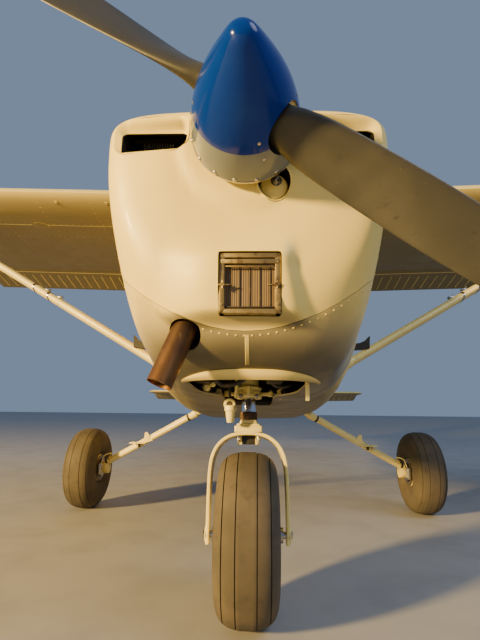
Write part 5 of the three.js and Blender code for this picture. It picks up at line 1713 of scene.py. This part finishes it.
def add_wing_skin(side, hand):
    """Rivet rows over spars and ribs, and lapped seams."""
    tree = node_tree(f"wing_{hand}")
    rivets, seams = Shape(), Shape()
    for direction in (Z_AXIS, -Z_AXIS):
        for share in (0.175, 0.30, 0.68):
            rivets.rivets(cast_line(tree, *span_line(side, share, 600, 5380), direction, 44), 2.8, 1.2)
        for x0, x1 in ((600, 2490), (2530, 5380)):
            ribbon(seams, cast_line(tree, *span_line(side, 0.19, x0, x1), direction, 240), 5, 1.5)
        rows = [[(side * x, wing_edge(x, share), 2000) for share in (0.03, 0.72)] for x in RIB_PLACES]
        rivet_rows(rivets, tree, rows, direction, 48)
    # Rivets and seams take the pale gear paint without the painted shade of faces that look down, as a
    # painted highlight
    rivets.piece(f"wing_rivets_{hand}", "gear_paint", "airframe")
    seams.piece(f"wing_seams_{hand}", "gear_paint", "airframe")


def add_flap_skin(side, hand):
    """The ribs pressed into flap and aileron, with a lap and a rivet row at their front."""
    for part, x0, x1, pitch in (("flap", 600, 2470, 82), ("aileron", 2560, 5100, 94)):
        node = f"{part}_{hand}"
        tree = node_tree(node)
        lines = []
        for x in range(x0, x1, pitch):
            front = place(side * x, wing_edge(x, 0.83), 1950)
            lines += above_and_below(front, place(side * x, wing_edge(x, 1.0) - 14, 1950))
        add_ribs(f"{part}_ribs_{hand}", node, tree, lines)
        rows = Shape()
        ribbon(rows, cast_line(tree, *span_line(side, 0.80, x0 - 20, x1 + 10), Z_AXIS, 240), 9, 2.4)
        for direction in (Z_AXIS, -Z_AXIS):
            row = span_line(side, 0.815, x0 - 20, x1 + 10)
            rows.rivets(cast_line(tree, *row, direction, 41), 2.6, 1.1)
        # The lap and rivets take the pale gear paint without the painted shade of faces that look down, as
        # a painted highlight
        rows.piece(f"{part}_rivets_{hand}", "gear_paint", node)


def under_wing(tree, side, x, share):
    """A place on the wing's underside."""
    return on_skin(tree, place(side * x, wing_edge(x, share), 1000), Z_AXIS)


def add_wing_covers(side, hand):
    """Inspection covers with their screws, two round fittings by the front edge, and the fuel cap."""
    tree = node_tree(f"wing_{hand}")
    covers = Shape()
    for x, share in ((1500, 0.2), (3000, 0.5), (3900, 0.5), (4700, 0.5), (3450, 0.2), (4300, 0.2)):
        point, out = under_wing(tree, side, x, share)
        covers.turned([(58, -1), (58, 1.2), (55, 2.0), (0, 2.0)], point, out, 40)
        for k in range(6):
            turn = math.pi / 3 * k
            spot = point + (X_AXIS * math.cos(turn) + Y_AXIS * math.sin(turn)) * 0.049 + out * 0.0016
            covers.turned([(3, 0), (2.4, 1.4), (0, 1.6)], spot, out, 8)
    point, out = on_skin(tree, place(side * 1050, wing_edge(1050, 0.34), 3000), -Z_AXIS)
    cap = [(46, -1), (46, 2), (43, 3.5), (40, 3.5), (39, 8), (36, 10), (0, 10)]
    covers.turned(cap, point, out, 40)
    grip = point + out * 0.012
    covers.bar(grip - X_AXIS * 0.028, grip + X_AXIS * 0.028, 9, 6, out, 1.5)
    for x in (940, 1270):
        point, out = under_wing(tree, side, x, 0.03)
        covers.tube([point - out * 0.004, point + out * 0.008], 6, 16)
        covers.turned([(16, -1), (16, 2), (9, 4), (0, 4)], point, out, 20)
    covers.piece(f"wing_covers_{hand}", "cream_paint", "airframe")


def add_tip_lamp(side, hand):
    """The coloured lamp at the wing's tip."""
    look = "beacon_glass" if side > 0 else "green_glass"
    tree = node_tree(f"wing_{hand}")
    point, out = on_skin(tree, place(side * 6200, wing_edge(TIP_X, 0.12), 2060), -X_AXIS * side)
    glass = [(0, -12), (22, -12), (24, 0), (22, 14), (15, 26), (6, 31), (0, 32)]
    lamp = Shape().turned(glass, point + out * 0.006, out, 28)
    lamp.piece(f"tip_lamp_{hand}", look, "airframe")


for side, hand in SIDES:
    add_wing_skin(side, hand)
    add_flap_skin(side, hand)
    add_wing_covers(side, hand)
    add_tip_lamp(side, hand)


FIN_ROWS = (
    # (station, height) of each row's two ends
    ((5330, 1160), (6080, 2260)),
    ((5880, 1150), (6220, 2260)),
    ((5110, 1330), (6000, 1330)),
    ((5300, 1600), (6080, 1600)),
    ((5480, 1880), (6160, 1880)),
    ((5660, 2140), (6230, 2140)),
)
CONE_ROWS = (((2700, 1010), (5900, 985)), ((2700, 1290), (5900, 1075)))
CONE_FRAMES = (2740, 3160, 3620, 4080, 4540, 5000, 5400)
CABIN_ROWS = (
    ((120, 800), (120, 1600)),
    ((30, 800), (30, 1600)),
    ((60, 1240), (690, 1240)),
    ((60, 900), (740, 860)),
    ((1760, 1200), (2650, 1200)),
)


def in_middle(rows):
    """Rows of (station, height) ends, put in the aircraft's middle plane."""
    return [[(0, *end) for end in row] for row in rows]


def add_tail_ribs():
    """Ribs pressed into elevator and rudder."""
    lines = []
    for side, _ in SIDES:
        for i in range(17):
            x = side * (170 + i * 92)
            lines += above_and_below(place(x, 5815, 950), place(x, 6040 if i > 13 else 6090, 950))
    add_ribs("elevator_ribs", "elevator", node_tree("elevator"), lines)
    lines = []
    for i in range(15):
        z = 1040 + i * 92
        front = 6078 + (z - 940) * 0.2 + 40
        for side, _ in SIDES:
            lines.append((place(0, front, z), place(0, front + 270 - i * 3, z), -X_AXIS * side))
    add_ribs("rudder_ribs", "rudder", node_tree("rudder"), lines)


def add_tail_rivets():
    """Rivets on the fin, the cabin's sides, the tail cone and the stabilizer."""
    fin = node_tree("fin")
    cone = node_tree("tail_cone", "cabin_shell")
    stabilizer = node_tree("stabilizer")
    frames = [((y, 760), (y, 1420)) for y in CONE_FRAMES]
    rivets = Shape()
    for side, _ in SIDES:
        out = -X_AXIS * side
        rivet_rows(rivets, fin, in_middle(FIN_ROWS), out, 44)
        rivet_rows(rivets, cone, in_middle(CONE_ROWS), out, 48)
        rivet_rows(rivets, cone, in_middle(frames), out, 46)
        rivet_rows(rivets, cone, in_middle(CABIN_ROWS), out, 46, (2.8, 1.2))
        spars = [[(side * x, y, 990) for x in (150, 1640)] for y in (5230, 5500, 5690)]
        ribs = [[(side * x, y, 990) for y in (5190, 5710)] for x in (300, 620, 940, 1260, 1560)]
        for direction in (Z_AXIS, -Z_AXIS):
            rivet_rows(rivets, stabilizer, spars + ribs, direction, 44)
    rivets.piece("tail_rivets", "cream_paint", "airframe")


add_tail_ribs()
add_tail_rivets()


# Nose leg's torque links

def add_torque_links():
    """Two forged arms on each side of a knee pin behind the piston."""
    links = Shape()
    knee_along, knee_back = LINK_KNEE
    for (along, back), root in zip(LINK_ROOTS, (28, 44)):
        links.bar(leg_point(0, along, root), leg_point(0, along, back), 32, 22, LEG_UP, 3)
        links.tube([leg_point(-28, along, back), leg_point(28, along, back)], 11, 20)
        for side, _ in SIDES:
            links.bar(leg_point(side * 20, along, back), leg_point(side * 9, *LINK_KNEE), 15, 9, X_AXIS, 2)
        web = [leg_point(0, along + (knee_along - along) * share, back + (knee_back - back) * share)
               for share in (0.3, 0.45)]
        links.bar(*web, 5, 30, LEG_BACK, 1)
    links.tube([leg_point(-20, *LINK_KNEE), leg_point(20, *LINK_KNEE)], 11, 20)
    links.piece("torque_link_arms", "gear_paint", "nose_fork", "torque_links")
    pins = Shape()
    for spot, reach in ((LINK_ROOTS[0], 28), (LINK_ROOTS[1], 28), (LINK_KNEE, 20)):
        for side, _ in SIDES:
            pins.bolt(leg_point(side * reach, *spot), X_AXIS * side, 7, 6)
    pins.piece("torque_link_pins", "steel", "nose_fork")


add_torque_links()


# Seats

SEATS = (
    # node, middle across, front, half width, top
    ("seat_left", 232, 900, 205, 1600),
    ("seat_right", -232, 900, 205, 1600),
    ("seat_rear", 0, 1730, 430, 1560),
)
PLACE_HALF = 215  # about half the width of one person's place
PULL = 0.05  # how far a cushion's sides pull in between its corners, as a share
CROWN = 0.34  # how much of its height a cushion has in its middle alone
CHANNEL = 9  # depth of a sewn channel
PIPING = 3.6  # radius
PAN_TOP = 956
RAIL = (791, 806)  # bottom and top of a floor rail


def cushion_point(frame_of, size, channels, u, v, face):
    """One point of a cushion: u and v run across and along it, face is 1 on top and -1 below."""
    centre, across, along = frame_of
    width, length, thick = size
    x = u * width / 2 * (1 - PULL * (1 - v * v))
    y = v * length / 2 * (1 - PULL * (1 - u * u))
    edge = ((1 - abs(u) ** 5) * (1 - abs(v) ** 5)) ** 0.42
    crown = 1 - CROWN + CROWN * (1 - u * u) * (1 - v * v) if face > 0 else 0.86
    groove = sum(math.exp(-((v - at) / 0.035) ** 2) for at in channels) * CHANNEL * edge if face > 0 else 0
    level = face * (thick / 2 * edge * crown - groove)
    return centre + (across * x + along * y + across.cross(along) * level) * MM


def cushion(name, frame_of, size, channels, *nodes):
    """A crowned, sewn cushion and the piping round its edge."""
    steps = [math.sin(math.pi * (i / 40 - 0.5)) for i in range(41)]
    pad = Shape()
    for face in (1, -1):
        rings = [[cushion_point(frame_of, size, channels, u, v, face) for u in steps] for v in steps]
        pad.skin(rings, wrap=False, caps=False)
    pad.piece(name, "seat_cloth", "airframe", *nodes, angle=60)
    loop = [(u, -1) for u in steps] + [(1, v) for v in steps] + [(u, 1) for u in reversed(steps)]
    loop += [(-1, v) for v in reversed(steps)]
    spots = [cushion_point(frame_of, size, (), u, v, 1) for u, v in loop]
    clear = [spots[0]]
    for spot in spots[1:]:
        if (spot - clear[-1]).length > 0.004:
            clear.append(spot)
    Shape().tube([*clear, clear[0]], PIPING, 8).piece(f"{name}_piping", "cabin_trim", "airframe")


def seat_lean(front, top):
    """The direction up a seat's leaning back."""
    return (place(0, front + 602, top) - place(0, front + 500, 1050)).normalized()


def add_seat_pads(node, x, front, half, top):
    """A sprung cushion and a leaning back for each person's place."""
    hand = node.removeprefix("seat_")
    tilt = (place(0, front + 430, 1006) - place(0, front, 1022)).normalized()
    places = max(1, round(half / PLACE_HALF))
    width = (2 * half - 16) / places
    for k in range(places):
        name = f"{hand}_{k + 1}"
        nodes = (node,) if k == 0 else ()
        middle = x + (k - (places - 1) / 2) * width
        base = (place(middle, front + 226, 1013), X_AXIS, tilt)
        cushion(f"seat_cushion_{name}", base, (width - 8, 425, 96), (-0.45, 0, 0.45), *nodes)
        back = (place(middle, front + 548, (1060 + top) / 2 + 4), -X_AXIS, seat_lean(front, top))
        cushion(f"seat_back_{name}", back, (width - 8, top - 1068, 92), (-0.5, -0.1, 0.3))


def add_seat_frame(node, x, front, half, top):
    """The pan, the back's plate, and the legs on two floor rails."""
    lean = seat_lean(front, top)
    foot = place(x, front + 572, 1000) + lean * 0.04
    bars = Shape().block(place(x - half + 16, front + 16, 952), place(x + half - 16, front + 440, 962), 3)
    bars.bar(foot, foot + lean * (top - 1080) * MM, 2 * half - 76, 8, lean.cross(X_AXIS), 2)
    low, high = RAIL
    for dx in (30 - half, half - 30):
        for low_y, high_y in ((40, 50), (470, 430)):
            bars.tube([place(x + dx, front + low_y, high), place(x + dx, front + high_y, PAN_TOP)], 11, 16)
        hip = [place(x + dx, front + 420, PAN_TOP), place(x + dx, front + 540, 1000)]
        bars.tube([*hip, foot + X_AXIS * dx * MM], 10, 16)
        bars.block(place(x + dx - 14, front - 10, low), place(x + dx + 14, front + 560, high), 2)
    bars.piece(f"seat_frame_{node.removeprefix('seat_')}", "aluminium", "airframe")


for seat in SEATS:
    add_seat_pads(*seat)
    add_seat_frame(*seat)


# Instrument panel

PANEL_FACE = 446
DIALS = [
    # across, height, radius: six before the left seat, eight small ones before the right
    *[(232 + dx, z, 40) for dx in (-100, 0, 100) for z in (1574, 1484)],
    *[(-120 - 62 * k, z, 25) for k in range(4) for z in (1580, 1520)],
]
RADIO_LEVELS = (1588, 1546, 1504, 1462)
PULL_KNOBS = {"across": (-40, 10, 60), "level": 1398, "reach": 50}


def add_dial(rims, faces, marks, x, z, reach):
    """A rim, a black face, twelve marks and a pointer."""
    centre = place(x, PANEL_FACE, z)
    rim = [(reach - 4, 0), (reach + 3, 0), (reach + 3, 4), (reach, 7), (reach - 4, 4)]
    rims.turned(rim, centre, Y_AXIS, 40, closed=True)
    faces.turned([(0, 0.4), (reach - 4, 0.4), (reach - 4, 2), (0, 2)], centre, Y_AXIS, 32)
    for k in range(12):
        turn = math.pi / 6 * k
        ray = X_AXIS * math.cos(turn) + Z_AXIS * math.sin(turn)
        start, end = (centre + Y_AXIS * 0.0024 + ray * (reach - gap) * MM for gap in (12, 6))
        marks.bar(start, end, 1.6, 0.6, Y_AXIS)
    pointer = X_AXIS * math.cos(x * 0.7) + Z_AXIS * math.sin(x * 0.7)
    hub = centre + Y_AXIS * 0.003
    marks.bar(hub, hub + pointer * (reach - 13) * MM, 2, 0.8, Y_AXIS)


def add_panel():
    """Round dials with marks but no figures, blank radios, and black knobs."""
    surface("dial_black", (0.012, 0.012, 0.013), 0.35, bumps=((500, 0.02, EVEN),))
    surface("dial_marks", (0.72, 0.72, 0.68), 0.5, bumps=((500, 0.02, EVEN),))
    rims, faces, marks = Shape(), Shape(), Shape()
    for dial in DIALS:
        add_dial(rims, faces, marks, *dial)
    for z in RADIO_LEVELS:
        faces.block(place(-72, PANEL_FACE, z - 18), place(84, PANEL_FACE + 6, z + 16), 2)
        for x in (-62, 74):
            rims.turned([(0, 0), (9, 0), (8, 12), (0, 12)], place(x, PANEL_FACE + 6, z), Y_AXIS, 20)
    places, level, reach = PULL_KNOBS.values()
    for x in places:
        knob = place(x, PANEL_FACE + reach, level)
        rims.tube([place(x, PANEL_FACE, level), knob], 5, 12)
        rims.turned([(0, 0), (15, 0), (17, 8), (15, 18), (0, 20)], knob, Y_AXIS, 24)
    rims.piece("dial_rims", "cabin_trim", "airframe")
    faces.piece("dial_faces", "dial_black", "airframe")
    marks.piece("dial_marks", "dial_marks", "airframe")


add_panel()


# Cabin's outside: window edges, rivets, handles, steps and aerials

WINDOWS = (
    # solid that holds it, corners (station, height)
    ("door", [(905, 1460), (1622, 1452), (1598, 1800), (1128, 1806)]),
    ("cabin", [(1788, 1455), (2330, 1490), (2150, 1800), (1758, 1806)]),
)
CABIN_STEP = [
    # across, height
    (498, 1012), (545, 1015), (576, 1018), (577, 1054), (580, 1080), (561, 1059), (532, 1046), (498, 1040),
]
GLASS_STRIPS = (
    # (station, height) of both ends, width, height
    (((416, 1652), (800, 1955)), 22, 3),
    (((2392, 1764), (2960, 1518)), 18, 2.4),
)


def grown_outline(corner_list, reach):
    """Corners moved outward from their middle by reach."""
    middle_y = sum(y for y, _ in corner_list) / len(corner_list)
    middle_z = sum(z for _, z in corner_list) / len(corner_list)
    out = []
    for y, z in corner_list:
        away = Vector((y - middle_y, z - middle_z)).normalized() * reach * 1.4
        out.append((y + away.x, z + away.y))
    return out


def side_hits(tree, side, spots):
    """Places on the body's side at (station, height) spots."""
    hits = [on_skin(tree, place(side * 1200, y, z), -X_AXIS * side) for y, z in spots]
    return [hit for hit in hits if hit and abs(hit[0].x) > 0.2]


def finely(spots, step):
    """The points of a line with more put in, so that none are more than step apart."""
    out = []
    for (y0, z0), (y1, z1) in zip(spots, spots[1:]):
        count = max(1, math.ceil(math.hypot(y1 - y0, z1 - z0) / step))
        out += [(y0 + (y1 - y0) * i / count, z0 + (z1 - z0) * i / count) for i in range(count)]
    return [*out, spots[-1]]


def from_above(tree, y, reach, pitch):
    """Places across the cabin's top at one station."""
    hits = [on_skin(tree, place(x, y, 2600), -Z_AXIS) for x in range(-reach, reach + 1, pitch)]
    return [hit for hit in hits if hit]


def add_window_edges(side, hand, trees):
    """Black edges and rivets round the door's window and the rear side window."""
    for holder, window in WINDOWS:
        body = f"door_{hand}" if holder == "door" else "airframe"
        outline = rounded(grown_outline(window, 13), 66, 6)
        spots = finely([*outline, outline[0]], 50)
        edge = ribbon(Shape(), side_hits(trees[holder], side, spots), 16, 2.6)
        edge.piece(f"{holder}_window_edge_{hand}", "black_rubber_and_shade", body)
        outer = rounded(grown_outline(window, 34), 70, 5)
        rivets = Shape().rivets(side_hits(trees[holder], side, finely([*outer, outer[0]], 46)))
        rivets.piece(f"{holder}_window_rivets_{hand}", "cream_paint", body)


def add_door_parts(side, hand, tree):
    """The door's rivets and its handle."""
    skin = Shape()
    for row in (((840, 1250), (1660, 1240)), ((850, 905), (1625, 865))):
        skin.rivets(side_hits(tree, side, finely(row, 46)))
    skin.piece(f"door_rivets_{hand}", "cream_paint", f"door_{hand}")
    handle = Shape().bar(place(side * 560, 1512, 1326), place(side * 562, 1600, 1326), 14, 7, Z_AXIS, 2)
    handle.turned([(0, 0), (13, 0), (12, 10), (0, 12)], place(side * 552, 1512, 1326), X_AXIS * side, 24)
    handle.piece(f"door_handle_{hand}", "chrome", f"door_{hand}")


def add_cabin_step(side, hand):
    """The black step low on the cabin's side, pointed outward and up as seen from the front."""
    step = Shape().prism([(side * x, z) for x, z in CABIN_STEP], upright, (229, 274))
    step.piece(f"cabin_step_{hand}", "black_rubber_and_shade", "airframe")


def add_windshield_sides(side, hand, shell):
    """Strips beside the windshield and the rear window."""
    strips = Shape()
    for row, width, height in GLASS_STRIPS:
        ribbon(strips, side_hits(shell, side, finely(row, 40)), width, height)
    strips.piece(f"windshield_edge_{hand}", "cream_paint", "airframe")


def add_cabin_outside():
    """Window edges, door parts and steps on both sides, and the bands and rivets across the roof."""
    shell = node_tree("cabin_shell")
    for side, hand in SIDES:
        door = node_tree(f"door_{hand}")
        add_window_edges(side, hand, {"door": door, "cabin": shell})
        add_door_parts(side, hand, door)
        add_cabin_step(side, hand)
        add_windshield_sides(side, hand, shell)
    bands = ribbon(Shape(), from_above(shell, 818, 480, 40), 24, 3)
    hits = [on_skin(shell, place(x, -400, 1650), Y_AXIS) for x in range(-440, 441, 40)]
    ribbon(bands, [hit for hit in hits if hit and hit[0].y < place(0, 700, 0).y], 20, 3)
    bands.piece("windshield_bands", "cream_paint", "airframe")
    roof = Shape()
    for y in range(900, 2301, 280):
        roof.rivets(from_above(shell, y, 460, 46))
    roof.piece("roof_rivets", "cream_paint", "airframe")


def add_aerials():
    """Three whips on the roof, a pitot tube under the left wing, the tail lamp and the beacon's base."""
    shell = node_tree("cabin_shell")
    whips, feet = Shape(), Shape()
    for x, y, length in ((-150, 1560, 330), (150, 1560, 330), (0, 2190, 200)):
        point, out = on_skin(shell, place(x, y, 2600), -Z_AXIS)
        tip = point + Z_AXIS * length * 0.8 * MM + Y_AXIS * length * 0.6 * MM
        whips.tube([point, point.lerp(tip, 0.5), tip], [3.2, 2.4, 1.6], 10)
        feet.turned([(24, -1), (24, 3), (12, 12), (6, 22), (0, 22)], point, out, 28)
    whips.piece("whip_aerials", "steel", "airframe")
    wing = node_tree("wing_left")
    point, out = on_skin(wing, place(2700, wing_edge(2700, 0.24), 1000), Z_AXIS)
    feet.bar(point, point - Z_AXIS * 0.13, 12, 44, Y_AXIS, 4)
    feet.tube([point - Z_AXIS * 0.13 + Y_AXIS * 0.03, point - Z_AXIS * 0.13 - Y_AXIS * 0.2], 9, 16)
    feet.piece("aerial_feet", "cream_paint", "airframe")
    glass = [(0, -20), (17, -20), (18, 0), (16, 18), (9, 27), (0, 29)]
    lamp = Shape().turned(glass, place(0, 6526, 1180), Y_AXIS, 24)
    lamp.piece("tail_lamp", "window", "rudder")
    base = Shape().turned([(34, -2), (36, 0), (36, 6), (33, 8), (0, 8)], place(0, 6190, 2441), Z_AXIS, 32)
    base.piece("beacon_base", "aluminium", "airframe")


def add_trim_tab():
    """The line where the trim tab meets the elevator's right half, above and below."""
    tab = Shape()
    tree = node_tree("elevator")
    for line in above_and_below(place(-300, 5990, 950), place(-900, 5990, 950)):
        ribbon(tab, cast_line(tree, *line, 60), 5, 1.4)
    tab.piece("trim_tab_line", "cream_paint", "elevator")


add_cabin_outside()
add_aerials()
add_trim_tab()
